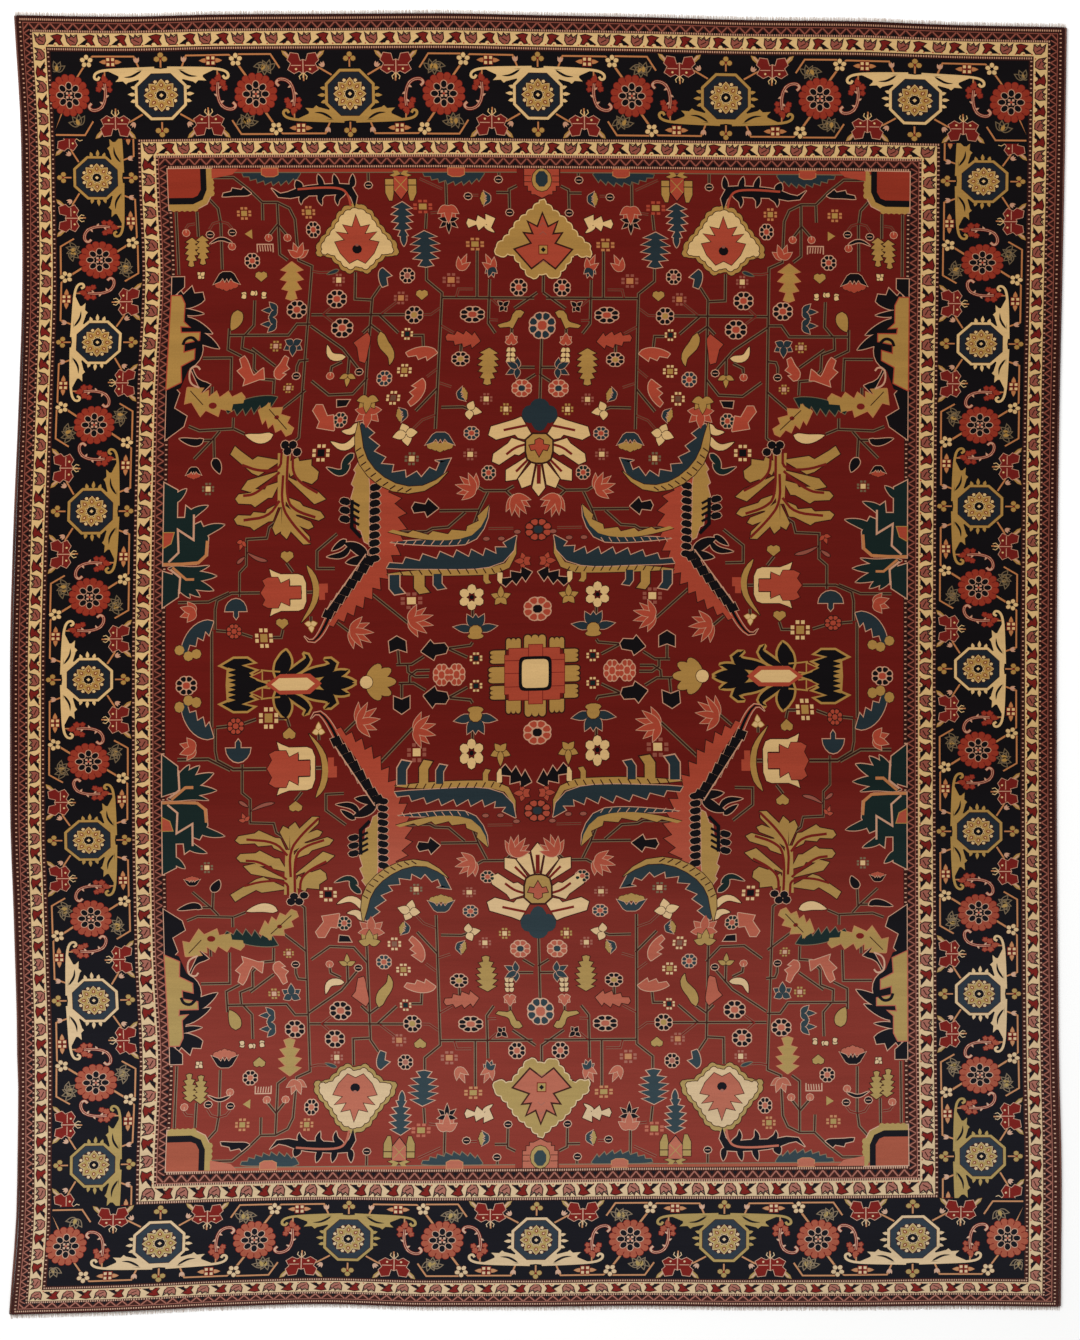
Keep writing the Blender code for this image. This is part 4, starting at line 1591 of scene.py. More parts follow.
        quarter.fill(loop(4.2, 3.2, 10, 324 + 264j), WINE, 8).fill(loop(2.6, 2.2, 8, 255 + 252j), WINE, 8)
        quarter.line((334 + 265j, 347 + 279j), 0.9, DARK, 8).line((243 + 240j, 264 + 260j), 0.9, DARK, 8)

    def long_leaves(self) -> None:
        """Draw the long blue leaf on its gold cord, with its five stalks, and the slim gold one above it."""
        quarter = self.quarter
        self.leaves(quarter, (
            Leaf((17 + 132j, 19 + 114j, 30 + 101j, 60 + 101j, 138 + 100j), 8, GOLD, DARK, full=0.9),
            Leaf((45 + 165j, 48 + 152j, 58 + 134j, 75 + 129j, 135 + 131j), 7, SLATE, CREAM),
            Leaf((45 + 165j, 50 + 152j, 60 + 139j, 76 + 135j, 100 + 134j, 137 + 141j), 6, GOLD, DARK, 6, 4,
                 (1,)),
        ))
        self.leaves(quarter, (
            Leaf((17 + 135j, 24 + 118j, 42 + 109j, 100 + 109j, 138 + 106j), 12, SLATE, CREAM, 9, 7, (1,),
                 0.8),
        ), 5)
        stalk = (-3 + 0j, 3 + 0j, 3 - 9j, 0 - 13j, -6 - 12j, -3 - 8j)
        for at, size, yarn in ((33, 0.85, IVORY), (47, 0.85, GOLD), (93, 1.2, SLATE), (109, 1.5, GOLD),
                               (131, 1.5, SLATE)):
            edge = CREAM if yarn is SLATE else DARK
            quarter.add(Motif().shape(stalk, yarn, edge, 0.7, 3), at + 99j, size=size)
        for k in range(12):
            quarter.line((33 + 8.5 * k + 103.5j, 30 + 8.5 * k + 98.5j), 1, DARK, 7)
            if k < 9:
                quarter.line((64 + 8 * k + 132j, 67 + 8 * k + 127.5j), 0.8, CREAM, 7)
        for at in (16 + 139j, 32 + 132.5j, 47 + 132.5j):
            quarter.add(Motif().shape(loop(3.4, 2, 8), PINK, DARK, 0.6, 3), at)

    def gold_fan(self) -> None:
        """Draw the branching gold fan under its black flower."""
        fan = Motif()
        for rib, width, prongs in (
            ((241 + 207j, 226 + 202j, 208 + 192j), 17, 3),
            ((242 + 196j, 232 + 183j, 216 + 176j, 199 + 173j), 10, 1),
            ((243 + 177j, 234 + 168j, 218 + 160j, 200 + 156j), 9, 2),
            ((244 + 170j, 233 + 154j, 211 + 147j), 8, 2), ((244 + 170j, 232 + 146j, 214 + 131j), 10, 2),
            ((243 + 166j, 240 + 148j, 238 + 136j), 8, 1), ((244 + 166j, 247 + 150j, 250 + 140j), 8, 1),
            ((246 + 170j, 256 + 157j, 275 + 152j, 298 + 155j), 11, 3),
            ((246 + 190j, 258 + 179j, 276 + 174j, 297 + 174j), 11, 3),
            ((246 + 200j, 262 + 192j, 290 + 183j), 9, 1),
            ((246 + 210j, 266 + 205j, 286 + 204j, 297 + 213j, 299 + 224j), 13, 2),
        ):
            fan.add(self.ornaments.frond(rib, width, GOLD, prongs))
        fan.fill((236 + 217j, 250 + 217j, 248 + 166j, 240 + 166j), GOLD, 3)
        for rib in (
            (234 + 214j, 233 + 198j, 224 + 188j, 207 + 179j),
            (239 + 216j, 239 + 172j, 228 + 162j, 209 + 156j),
            (243 + 196j, 244 + 167j, 232 + 150j, 214 + 132j),
            (246 + 217j, 246 + 201j, 270 + 200j, 290 + 206j),
            (247 + 199j, 259 + 188j, 275 + 178j, 288 + 177j), (246 + 172j, 258 + 157j, 287 + 154j),
        ):
            fan.line(smooth(rib), 2.6, WINE, 4)
        for at in (235 + 225j, 243 + 225j, 230 + 218j, 240 + 219j):
            fan.shape(loop(4.4, 4.2, 8, at), NAVY, CREAM, 0.7, 7)
        self.quarter.add(fan)

    def edge_palmettes(self) -> None:
        """Draw the two half palmettes that stand against the field's side."""
        quarter = self.quarter
        self.leaves(quarter, (
            Leaf((368 + 366j, 353 + 370j, 338 + 370j), 15, NAVY, CREAM, 3, 7, (-1,), 0.9),
            Leaf((364 + 360j, 350 + 357j, 338 + 356j), 6, NAVY, CREAM),
            Leaf((368 + 350j, 352 + 347j, 338 + 341j, 328 + 336j), 11, NAVY, CREAM),
            Leaf((358 + 338j, 338 + 332j, 320 + 321j), 12, NAVY, CREAM),
            Leaf((343 + 334j, 340 + 318j, 346 + 306j, 362 + 300j), 9, NAVY, CREAM),
            Leaf((352 + 310j, 350 + 292j, 341 + 284j, 327 + 285j), 13, NAVY, CREAM, 1, 4, (1,), 0.9),
        ), 2)
        self.patches(quarter, (
            Patch(NAVY, CREAM, (371 + 393j, 359 + 393j, 359 + 383j, 371 + 372j)),
            Patch(NAVY, CREAM, (371 + 292j, 358 + 277j, 363 + 262j, 350 + 254j, 353 + 244j, 371 + 231j)),
            Patch(NAVY, None, (371 + 378j, 358 + 366j, 350 + 340j, 340 + 334j, 341 + 308j, 350 + 300j,
                               357 + 282j, 371 + 276j)),
            Patch(GOLD, CORAL, (371 + 374j, 362 + 374j, 358 + 366j, 358 + 348j, 352 + 343j, 361 + 344j,
                                360 + 337j, 341 + 337j, 341 + 330j, 356 + 327j, 356 + 317j, 345 + 320j,
                                345 + 311j, 358 + 304j, 357 + 288j, 371 + 281j), 4, 1.1),
        ))
        quarter.line(smooth((343 + 328j, 348 + 333j, 355 + 331j, 357 + 325j)), 3, NAVY, 7)
        quarter.line(smooth((338 + 300j, 341 + 304j, 348 + 302j, 349 + 292j, 346 + 285j, 338 + 282j)), 1.8,
                     CREAM, 6)
        body = (371 + 190j, 358 + 183j, 358 + 157j, 350 + 157j, 349 + 168j, 342 + 163j, 341 + 150j,
                334 + 153j, 326 + 138j, 327 + 121j, 338 + 113j, 371 + 112j)
        self.patches(quarter, (
            Patch(GREEN, CREAM, body, 2, 1),
            Patch(GREEN, CREAM, (371 + 106j, 356 + 101j, 356 + 81j, 371 + 71j), 2, 1),
            Patch(CORAL, GOLD, (371 + 143j, 361 + 143j, 364 + 133j, 371 + 129j), 4, 0.8),
        ))
        self.leaves(quarter, (
            Leaf((361 + 172j, 357 + 177j, 349 + 184j), 7, GREEN, CREAM),
            Leaf((350 + 152j, 342 + 162j, 327 + 168j), 8, GREEN, CREAM),
            Leaf((340 + 138j, 326 + 146j, 309 + 150j), 9, GREEN, CREAM),
            Leaf((366 + 109j, 342 + 106j, 325 + 111j), 7, GREEN, CREAM),
            Leaf((362 + 104j, 342 + 101j, 317 + 101j), 11, GREEN, CREAM),
            Leaf((360 + 100j, 340 + 94j, 320 + 87j), 11, GREEN, CREAM),
            Leaf((356 + 98j, 346 + 90j, 334 + 81j), 9, GREEN, CREAM),
            Leaf((358 + 98j, 352 + 90j, 344 + 80j), 8, GREEN, CREAM),
        ), 2)
        for rib, width, yarn in (
            ((371 + 113j, 352 + 113j, 336 + 114j, 328 + 121j, 327 + 135j), 3, TAN),
            ((341 + 160j, 341 + 136j, 357 + 146j, 356 + 124j, 366 + 115j), 2, CREAM),
            ((364 + 108j, 354 + 100j, 355 + 84j), 2, CREAM), ((362 + 110j, 348 + 98j, 340 + 98j), 2.4, TAN),
        ):
            quarter.line(rib, width, yarn, 6)

    def leaflets(self) -> None:
        """Draw the field's smaller leaves and the large bell flowers."""
        quarter = self.quarter
        self.leaves(quarter, SMALL_LEAVES)
        self.sprigs(quarter, SPRIGS)
        self.patches(quarter, (
            Patch(CORAL, None, (196 + 92j, 205 + 92j, 205 + 76j, 199 + 76j, 199 + 83j, 196 + 83j)),
            Patch(GOLD, None, (289 + 440j, 296.5 + 435.5j, 289 + 430.5j)),
            Patch(NAVY, CREAM, (123 + 22j, 123 + 33j, 131 + 38j, 139 + 33j, 139 + 22j, 131 + 25j)),
            Patch(NAVY, CREAM, (183 + 269j, 196 + 269j, 195 + 262j, 186 + 263j)),
        ))
        cup = doubled((0 + 0j, 0 + 9j, 3 + 16j, 8 + 18j, 26 + 18j, 34 + 21j, 38 + 23j, 36 + 16j, 27 + 13j,
                       26 + 8j, 16 + 12j, 16 + 7j, 5 + 7j, 4 + 0j), upright=False)
        bloom = doubled((5 + 0j, 5 + 6j, 17 + 6j, 17 + 13j, 26 + 9j, 29 + 15j, 40 + 15j, 46 + 12j, 43 + 7j,
                         48 + 0j),
                        upright=False)
        quarter.add(Motif().shape(bloom, CORAL, DARK, 0.6, 5).shape(cup, IVORY, DARK, 0.8, 3), 218 + 84j)
        comb = Motif().line((-8 - 4j, -8 + 4j, 8 + 4j, 8 - 4j), 1.2, CREAM, 3)
        for k in range(5):
            comb.line((-5 + 2.6 * k + 3j, -5.6 + 2.6 * k - 3j), 1, CREAM, 3)
        quarter.add(comb, 276.5 + 421j)
        art = self.ornaments
        for at, turn, width, cap, lobes in (
            (75 + 274j, 75, 15, SLATE, GOLD), (127.7 + 255j, -105, 15, SLATE, GOLD),
            (50 + 471j, -90, 15, SLATE, GOLD), (92.5 + 231j, 180, 27, SLATE, GOLD),
            (342 + 201j, 180, 16, NAVY, CORAL), (316 + 392j, 180, 27, NAVY, CORAL),
        ):
            quarter.add(art.lotus(width, cap, lobes), at, turn, lift=3)
        dome = (*(loop(12.5, 12.5, 16)[:9]), -2.5 + 0j, -2.5 - 5j, 0 - 8j, 2.5 - 5j, 2.5 + 0j)
        quarter.add(Motif().shape(dome, SLATE, CREAM, 0.8, 3), 295 + 66j)
        pale = Motif().shape(loop(4.8, 4.3, 8, 8.2), IVORY, DARK, 0.7)
        quarter.add(Motif().round(pale, 6, 30).fill(loop(2.4, count=6), NAVY, 4), 61 + 75j, lift=3)
        for at in (337 + 24j, 345 + 22j, 354 + 28j):
            quarter.shape(loop(5, 5, 8, at), GOLD, DARK, 0.6, 3)
        winged = Motif()
        for turn, reach in ((-80, 19), (80, 19), (-28, 15), (28, 15), (0, 13)):
            winged.add(Motif().shape(petal(reach, 8, 3, 5) * 1j, SLATE, CREAM, 0.6), 0j, turn)
        winged.shape(loop(6.5, 6, 10, -1j), GOLD, DARK, 0.7, 4).shape(loop(8, 3, 10, -6j), GOLD, DARK, 0.6, 4)
        quarter.add(winged, 57 + 42j, lift=2)

    def centre(self) -> None:
        """Draw the shapes on the middle line: the lotus palmettes and the larger flowers."""
        lotus = Motif()
        for rib, width, prongs in (
            ((4 + 16j, 16 + 31j, 34 + 29j, 51 + 22j), 15, 2), ((6 + 12j, 22 + 13j, 38 + 1j, 47 - 4j), 13, 2),
            ((5 + 5j, 17 - 5j, 27 - 16j, 33 - 23j), 11, 1), ((3 + 0j, 10 - 14j, 17 - 30j), 11, 1),
            ((0 + 2j, 0 - 20j, 0 - 38j), 10, 1),
        ):
            lotus.add(self.ornaments.frond(rib, width, IVORY, prongs))
        for rib in ((12 + 32j, 22 + 30j, 36 + 27j), (14 + 13j, 24 + 10j, 33 + 3j),
                    (10 - 1j, 17 - 8j, 23 - 14j)):
            lotus.line(smooth(rib), 2.4, WINE, 5)
        self.spine.add(lotus, 212j).add(lotus, 212j, mirror=True)
        crown = Motif()
        for at, rx, ry in ((0 + 50j, 10, 9), (-10 + 43j, 8, 9), (10 + 43j, 8, 9), (0 + 40j, 9, 14)):
            crown.fill(loop(rx, ry, 12, at), SLATE, 7)
        square = smooth((-13 + 23j, 13 + 23j, 13 + 0j, 6 - 5j, -6 - 5j, -13 + 0j), 1, closed=True)
        cross = doubled((0 + 19j, 4 + 17j, 4 + 13j, 10 + 12j, 8 + 7j, 4 + 8j, 0 + 1j))
        crown.line((0 - 7j, 0 - 26j), 4, WINE, 6)
        crown.shape(square, GOLD, DARK, 1.8, 8).shape(cross, CORAL, DARK, 0.8, 10)
        self.spine.add(crown, 212j)
        for row in (
            Flower(344j, 27 + 27j, SLATE, CREAM, CORAL), Flower(0 + 141j, 27 + 22j, CORAL, DARK, SLATE),
            Flower(0 + 62j, 28 + 24j, CORAL, CREAM, NAVY),
        ):
            self.spine.add(self.ornaments.flower(row), row.at, lift=3)
        for side in (1, -1):
            row = Flower(18.5 * side + 281j, 20 + 17j, CORAL, CREAM, SLATE)
            self.spine.add(self.ornaments.flower(row), row.at, lift=3)

    def side_palmettes(self) -> None:
        """Draw the dark clawed palmette on the cross line, its gold fan and the paired coral flowers."""
        half = Motif()
        tail = (12 + 0j, 24 + 4j, 32 + 12j, 26 + 15j, 40 + 20j, 28 + 23j, 34 + 27j, 48 + 27j, 60 + 20j,
                53 + 17j, 54 + 0j)
        claws = (
            ((-20 + 8j, -36 + 11j, -50 + 13j, -57 + 21j, -47 + 25j), 11),
            ((-6 + 10j, -18 + 15j, -31 + 26j, -25 + 31j), 8), ((4 + 8j, -4 + 20j, -6 + 35j), 16),
            ((-40 + 0j, -56 + 8j, -70 + 12j), 9), ((-40 + 0j, -60 + 3j, -77 + 1j), 9),
        )
        shapes = [doubled(tail, upright=False), *(blade(rib, width, full=0.9) for rib, width in claws)]
        for ring in shapes:
            half.line(ring, 4.6, GOLD, 1, closed=True)
        for ring in shapes:
            half.fill(ring, NAVY, 2)
        for k in range(4):
            half.fill((54 + (18 - 5.4 * k) * 1j, 54 + (13.2 - 5.4 * k) * 1j, 46 + (15.6 - 5.4 * k) * 1j),
                      GOLD, 3)
        half.shape((19 + 13j, 29 + 8.5j, 19 + 4j), WINE, GOLD, 1.3, 3)
        half.line((0 + 13j, 12 + 14j, 20 + 15j), 1.6, GOLD, 4).line((10 + 4j, 19 + 3j), 1.6, GOLD, 4)
        palmette = Motif().add(half)
        for ring, yarn, level in half.cells:
            palmette.fill(np.conj(ring), yarn, level)
        palmette.fill((-43 + 0j, -31 + 10.5j, 0 + 10.5j, 15 + 0j, 0 - 10.5j, -31 - 10.5j), CORAL, 5)
        palmette.fill((-36 + 0j, -28 + 6.4j, 1 + 6.4j, 9 + 0j, 1 - 6.4j, -28 - 6.4j), IVORY, 6)
        self.waist.add(palmette, 255 - 7.5j, size=0.97)
        gold = Motif()
        for lean, reach in ((-54, 22), (54, 22), (-28, 27), (28, 27), (0, 29)):
            lobe = Motif().shape(loop(0.5 * reach, 5.6, 14, 0.5 * reach + 0j), GOLD, DARK, 0.7)
            gold.add(lobe, 10 + 0j, 180 + lean, lift=2)
        gold.shape(loop(6.4, 6.4, 12, 11 + 0j), IVORY, DARK, 0.6, 5)
        self.waist.add(gold, 157.5 - 7.5j)
        coral = self.ornaments.flower(Flower(0j, 17 + 22j, CORAL, CREAM, CORAL))
        self.waist.add(coral, 78 - 2j, lift=2).add(coral, 93 - 2j, lift=2)
        row = Flower(349 - 7.5j, 21 + 19j, NAVY, CREAM, CORAL)
        self.waist.add(self.ornaments.flower(row), row.at, lift=2)

    def medallion(self) -> Motif:
        """The small medallion in the very middle: twelve gold shells, coral blocks and an ivory square."""
        whole = Motif()
        for at, turn, width, height in (
            (1 + 27.6j, 0, 21.5, 13.5), (-20.5 + 27j, 0, 14.5, 11), (23 + 27j, 0, 14.5, 11),
            (-29 + 19.5j, 90, 13, 15), (-29 + 1.4j, 90, 16, 16.5), (-29 - 16.3j, 90, 13.5, 15),
            (30.5 + 19.5j, -90, 13, 14), (30.5 + 1.4j, -90, 16, 15.5), (30.5 - 16.3j, -90, 13.5, 14),
            (1.4 - 25j, 180, 21, 16), (-20.5 - 24j, 180, 14.5, 13.5), (23 - 24j, 180, 14.5, 13.5),
        ):
            whole.add(Motif().shape(self.ornaments.shell(width, height), GOLD, DARK, 1.3), at, turn, lift=2)
        block = (-25 - 24j, 26 - 24j, 26 - 18j, 30.5 - 18j, 30.5 + 21j, 26 + 21j, 26 + 27.5j, -25 + 27.5j,
                 -25 + 21j, -29 + 21j, -29 - 18j, -25 - 18j)
        whole.shape(block, CORAL, WINE, 0.7, 6)
        whole.shape((-5 - 28j, 8.5 - 28j, 8.5 + 31j, -5 + 31j), CORAL, WINE, 0.7, 8)
        for height in (15.6j, 2.8j, -10.8j):
            whole.line((-29 + height, 30.5 + height), 0.7, WINE, 8)
        turn = loop(1, 1, 28)
        across = np.sign(turn.real) * np.abs(turn.real) ** 0.3
        up = np.sign(turn.imag) * np.abs(turn.imag) ** 0.3
        middle = 1.4 + 2.2j
        whole.fill(middle + 16.6 * across + 17.4j * up, NAVY, 10)
        return whole.fill(middle + 13.4 * across + 14.4j * up, IVORY, 11)

    def quarter_as_woven(self, mirror: bool, flip: bool) -> Motif:
        """The quarter with the drift that it has in one corner, for the weaver repeated it by eye.

        Args:
            mirror: whether it is for the left half.
            flip: whether it is for the foot half.

        Returns:
            The quarter, not yet mirrored or flipped.
        """
        woven = Motif()
        for ring, yarn, level in self.quarter.cells:
            drop = np.interp(ring.imag, self.drop_heights, self.drops) if flip else 0
            away = ring - self.sway_middle
            across, along = away.real / self.sway_reach.real, away.imag / self.sway_reach.imag
            near = np.exp(-(across**4) - along**4)
            sway = self.sway * near if mirror != flip else 0
            woven.fill(ring + self.axis_shift + sway + 1j * drop, yarn, level)
        return woven

    def build(self) -> None:
        """Draw the field and stamp it in its places."""
        self.cartoon.sheet(complex(-FIELD_U, -FIELD_V), complex(FIELD_U, FIELD_V), RED)
        self.stems()
        self.flowers()
        self.head_edge()
        self.shields()
        self.arabesques()
        self.long_leaves()
        self.gold_fan()
        self.edge_palmettes()
        self.leaflets()
        self.centre()
        self.side_palmettes()
        for flip in (False, True):
            self.cartoon.stamp(self.spine, self.spine_shift, flip=flip)
            for mirror in (False, True):
                self.cartoon.stamp(self.quarter_as_woven(mirror, flip), mirror=mirror, flip=flip)
        for mirror in (False, True):
            self.cartoon.stamp(self.waist, mirror=mirror)
        self.cartoon.stamp(self.medallion(), -0.5 - 5j)


@dataclass
class PileBody:
    """The rug's slab: foundation and pile, with soft clipped rims."""

    plan: Plan
    bottom: float = 0.0022
    rim: float = 0.0028
    longest: float = 0.08
    finish: SpunYarn = SpunYarn("pile_edge", (84, 40, 34), (46, 22, 20), (60.0, 60.0, 260.0))

    def build(self, top: float) -> bpy.types.Object:
        """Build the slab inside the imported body's plan.

        Args:
            top: the height of its face.

        Returns:
            The slab.
        """
        work = bmesh.new()
        columns, rows = 46, 58
        bmesh.ops.create_grid(work, x_segments=columns, y_segments=rows, size=1.0)
        reach = complex(FIELD_U + BORDER, FIELD_V + BORDER)
        chart = np.array([complex(v.co.x * reach.real, v.co.y * reach.imag) for v in work.verts])
        for vertex, spot in zip(work.verts, self.plan.place(chart)):
            vertex.co = (spot[0], spot[1], self.bottom)
        risen = bmesh.ops.extrude_face_region(work, geom=list(work.faces))["geom"]
        bmesh.ops.translate(
            work, vec=(0.0, 0.0, top - self.bottom),
            verts=[item for item in risen if isinstance(item, bmesh.types.BMVert)],
        )
        bmesh.ops.recalc_face_normals(work, faces=list(work.faces))
        rims = [e for e in work.edges if len(e.link_faces) == 2 and e.calc_face_angle() > 1.0]
        bmesh.ops.bevel(
            work, geom=rims, offset=self.rim, offset_type="OFFSET", segments=3, profile=0.5, affect="EDGES",
            material=-1, clamp_overlap=True,
        )
        mesh = bpy.data.meshes.new("pile_slab")
        work.to_mesh(mesh)
        work.free()
        mesh.materials.append(self.finish.material())
        lay_flat_uv(mesh)
        mesh.shade_smooth()
        mesh.set_sharp_from_angle(angle=math.radians(40.0))
        slab = bpy.data.objects.new("pile_slab", mesh)
        bpy.context.collection.objects.link(slab)
        return slab


def smooth_piece(name: str, work: bmesh.types.BMesh, material: bpy.types.Material) -> bpy.types.Object:
    """Turn a finished bmesh into a smooth-shaded piece.

    Args:
        name: the piece's name.
        work: its shape, which is freed.
        material: its finish.

    Returns:
        The piece.
    """
    bmesh.ops.recalc_face_normals(work, faces=list(work.faces))
    mesh = bpy.data.meshes.new(name)
    work.to_mesh(mesh)
    work.free()
    mesh.shade_smooth()
    mesh.materials.append(material)
    lay_flat_uv(mesh)
    piece = bpy.data.objects.new(name, mesh)
    bpy.context.collection.objects.link(piece)
    return piece


@dataclass
class Selvedge:
    """The cord overcast along one side: close wraps of dark wool over the edge warps."""

    node: str
    wrap: float = 0.0042
    swell: float = 0.0006
    sides: int = 10
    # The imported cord's middle is read at stations this far apart, from its corners this near.
    station: float = 0.02
    station_reach: float = 0.03
    # How far a wrap leans, as a share of its width, and how small its ring is at both ends.
    lean: float = 0.35
    end_size: float = 0.35
    weld: float = 0.00001
    finish: SpunYarn = SpunYarn("overcast_wool", (116, 74, 62), (58, 32, 28), (120.0, 420.0, 120.0))

    def build(self) -> bpy.types.Object:
        """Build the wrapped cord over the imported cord's own line.

        Returns:
            The cord.
        """
        low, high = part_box(self.node)
        corners = np.array([v.co[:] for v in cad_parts[self.node].data.vertices])
        radius = (high.z - low.z) / 2.0
        ys = np.unique(np.round(corners[:, 1] / self.station) * self.station)
        line = []
        for y in ys:
            near = corners[np.abs(corners[:, 1] - y) < self.station_reach]
            if len(near) > 3:
                line.append((near[:, 1].mean(), (near[:, 0].min() + near[:, 0].max()) / 2.0))
        stations = np.array(sorted(line))
        count = int((high.y - low.y) / self.wrap)
        rings = count * 2 + 1
        along = np.linspace(low.y, high.y, rings)
        centre = np.interp(along, stations[:, 0], stations[:, 1])
        work = bmesh.new()
        bmesh.ops.create_grid(work, x_segments=self.sides, y_segments=rings - 1, size=1.0)
        for vertex in work.verts:
            angle = (vertex.co.x + 1.0) * math.pi
            ring = round((vertex.co.y + 1.0) / 2.0 * (rings - 1))
            shift = self.wrap * self.lean * math.sin(angle)
            r = radius - (self.swell if ring % 2 else 0.0)
            if ring in (0, rings - 1):
                r = radius * self.end_size
                shift = 0.0
            vertex.co = (
                centre[ring] + r * math.cos(angle),
                min(max(along[ring] + shift, low.y), high.y),
                radius + r * math.sin(angle),
            )
        bmesh.ops.remove_doubles(work, verts=list(work.verts), dist=self.weld)
        loose = [edge for edge in work.edges if edge.is_boundary]
        bmesh.ops.holes_fill(work, edges=loose, sides=self.sides + 2)
        return smooth_piece(self.node + "_wraps", work, self.finish.material())


@dataclass
class Fringe:
    """The warp ends past the pile at one end of the rug: loose twisted ends."""

    node: str
    plan: Plan
    strands: int = 1180
    reach: float = 0.0158
    margin: float = 0.002
    thickness: float = 0.0022
    strand: float = 0.0019
    gap: float = 0.0004
    # How much the strands differ in length, sideways lean and width.
    uneven: float = 0.0045
    lean: float = 0.0016
    widths: tuple[float, float] = (0.85, 1.15)
    head_seed: int = 7
    foot_seed: int = 11
    finish: SpunYarn = SpunYarn("warp_yarn", (232, 220, 208), (196, 176, 162), (500.0, 160.0, 300.0))

    def build(self) -> bpy.types.Object:
        """Build the strands.

        Returns:
            One mesh of them all.
        """
        head = self.node.endswith("head")
        outward = 1.0 if head else -1.0
        name = "head" if head else "foot"
        low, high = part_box(self.node)
        rng = np.random.default_rng(self.head_seed if head else self.foot_seed)
        work = bmesh.new()
        for x in np.linspace(low.x + self.margin, high.x - self.margin, self.strands):
            start = self.plan.edge(name, np.array([x]))[0] + outward * self.gap
            long = self.reach - self.gap - rng.uniform(0.0, self.uneven)
            sway = rng.normal(0.0, self.lean)
            width = self.strand * rng.uniform(*self.widths)
            # The cone is of unit size and stands up: this lays it flat on the floor, pointing outwards.
            laid = Matrix((
                (width, 0.0, sway, x + 0.5 * sway),
                (0.0, 0.0, outward * long, start + 0.5 * outward * long),
                (0.0, 0.9 * self.thickness, 0.0, 0.5 * self.thickness),
                (0.0, 0.0, 0.0, 1.0),
            ))
            bmesh.ops.create_cone(work, cap_ends=True, segments=4, radius1=0.5, radius2=0.32, depth=1.0,
                                  matrix=laid)
        for vertex in work.verts:
            vertex.co.x = min(max(vertex.co.x, low.x), high.x)
        return smooth_piece(self.node + "_strands", work, self.finish.material())


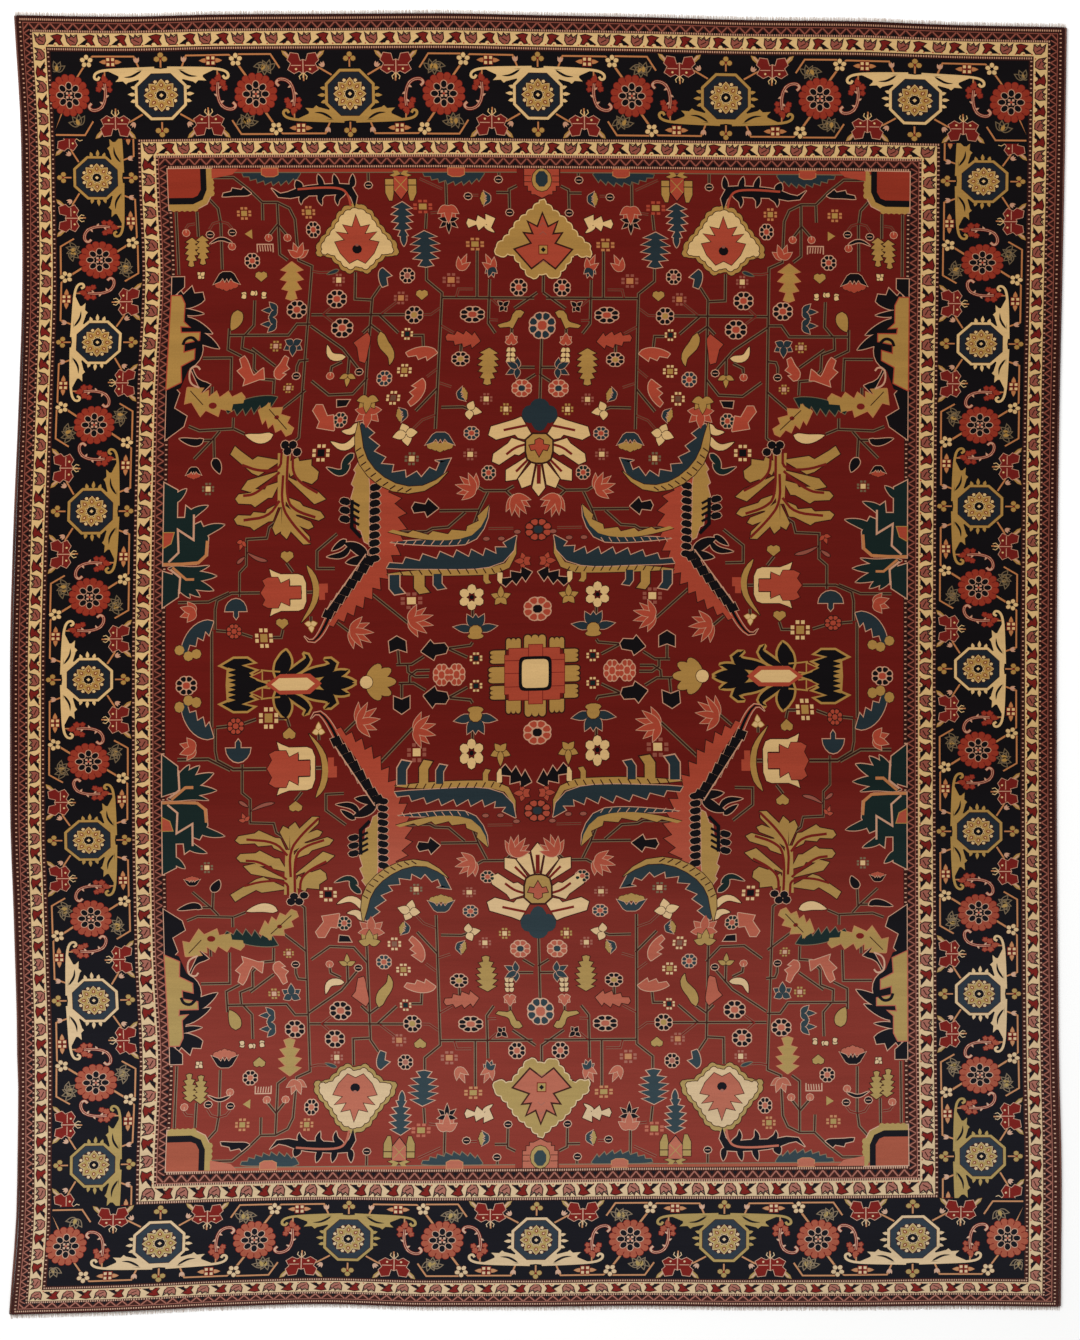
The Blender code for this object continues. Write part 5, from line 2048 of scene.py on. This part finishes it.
@dataclass
class Studio:
    """A pale floor, soft light and a camera straight above the rug."""

    photo_height: float = 1340.0
    metres_a_pixel: float = 0.0035
    photo_centre: tuple[float, float] = (0.007, -0.021)
    camera_height: float = 14.0
    sensor: float = 36.0
    floor_size: float = 60.0
    floor_gap: float = 0.0002
    floor_glow: float = 0.1
    surround: float = 0.64
    lamp_size: float = 7.0
    lamp_power: float = 940.0
    lamp_place: tuple[float, float, float] = (-7.0, 6.0, 9.0)
    lamp_slant: float = 10.8

    def floor(self) -> bpy.types.Object:
        """Lay a plain pale floor under the rug."""
        work = bmesh.new()
        bmesh.ops.create_grid(work, x_segments=1, y_segments=1, size=self.floor_size / 2.0)
        mesh = bpy.data.meshes.new("studio_floor")
        work.to_mesh(mesh)
        work.free()
        material = bpy.data.materials.new("studio_floor")
        material.use_nodes = True
        shader = material.node_tree.nodes["Principled BSDF"]
        shader.inputs["Base Color"].default_value = (0.985, 0.985, 0.98, 1.0)
        shader.inputs["Roughness"].default_value = 0.9
        shader.inputs["Specular IOR Level"].default_value = 0.1
        shader.inputs["Emission Color"].default_value = (1.0, 1.0, 1.0, 1.0)
        shader.inputs["Emission Strength"].default_value = self.floor_glow
        mesh.materials.append(material)
        floor = bpy.data.objects.new("studio_floor", mesh)
        floor.location.z = -self.floor_gap
        bpy.context.collection.objects.link(floor)
        return floor

    def light(self) -> None:
        """Set an even white surround and one large soft lamp from the head end's left."""
        world = bpy.data.worlds.new("studio")
        bpy.context.scene.world = world
        world.use_nodes = True
        surround = world.node_tree.nodes["Background"]
        surround.inputs["Color"].default_value = (1.0, 1.0, 1.0, 1.0)
        surround.inputs["Strength"].default_value = self.surround
        lamp = bpy.data.lights.new("soft_lamp", "AREA")
        lamp.shape = "RECTANGLE"
        lamp.size = self.lamp_size
        lamp.size_y = self.lamp_size
        lamp.energy = self.lamp_power
        holder = bpy.data.objects.new("soft_lamp", lamp)
        holder.location = self.lamp_place
        x, y, z = self.lamp_place
        holder.rotation_euler = (-np.arctan2(y, z), np.arctan2(x, self.lamp_slant), 0.0)
        bpy.context.collection.objects.link(holder)

    def camera(self) -> None:
        """Set the camera straight above, framed as the photograph is."""
        lens = bpy.data.cameras.new("camera")
        lens.sensor_fit = "VERTICAL"
        lens.sensor_height = self.sensor
        lens.lens = self.sensor * self.camera_height / (self.photo_height * self.metres_a_pixel)
        lens.clip_end = 100.0
        view = bpy.data.objects.new("camera", lens)
        view.location = (*self.photo_centre, self.camera_height)
        bpy.context.collection.objects.link(view)
        bpy.context.scene.camera = view

    def build(self) -> None:
        """Set the whole studio."""
        self.floor()
        self.light()
        self.camera()
        bpy.context.scene.view_settings.view_transform = "Standard"


def report(piece: bpy.types.Object) -> None:
    """Log one piece with its triangle count."""
    triangles = sum(len(face.vertices) - 2 for face in piece.data.polygons)
    log.info("%s: %d triangles", piece.name, triangles)


def main() -> None:
    """Build the rug's pieces in order."""
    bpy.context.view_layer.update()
    logging.basicConfig(level=logging.INFO, format="%(message)s")
    low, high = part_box("rug_body")
    plan = Plan()
    cartoon = Cartoon(plan)
    ornaments = Ornaments()
    Field(cartoon, ornaments).build()
    Borders(cartoon, ornaments).build()
    pieces = []
    slab_body = PileBody(plan)
    face = high.z - PATTERN_RISE
    slab = slab_body.build(face)
    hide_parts("rug_body")
    pieces.append(slab)
    finish = PileWool()
    pattern = []
    for yarn in Yarn:
        piece = cartoon.piece(yarn, face, slab_body.bottom, finish)
        if piece is not None:
            pattern.append(piece)
    trims = []
    for node in ("selvedge_left", "selvedge_right"):
        cord = Selvedge(node).build()
        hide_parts(node)
        trims.append(cord)
    for node in ("fringe_head", "fringe_foot"):
        strands = Fringe(node, plan).build()
        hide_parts(node)
        trims.append(strands)
    pieces += pattern + trims
    for piece in pieces:
        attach(piece, "root")
        report(piece)
    Studio().build()
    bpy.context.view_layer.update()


if __name__ == "__main__":
    main()
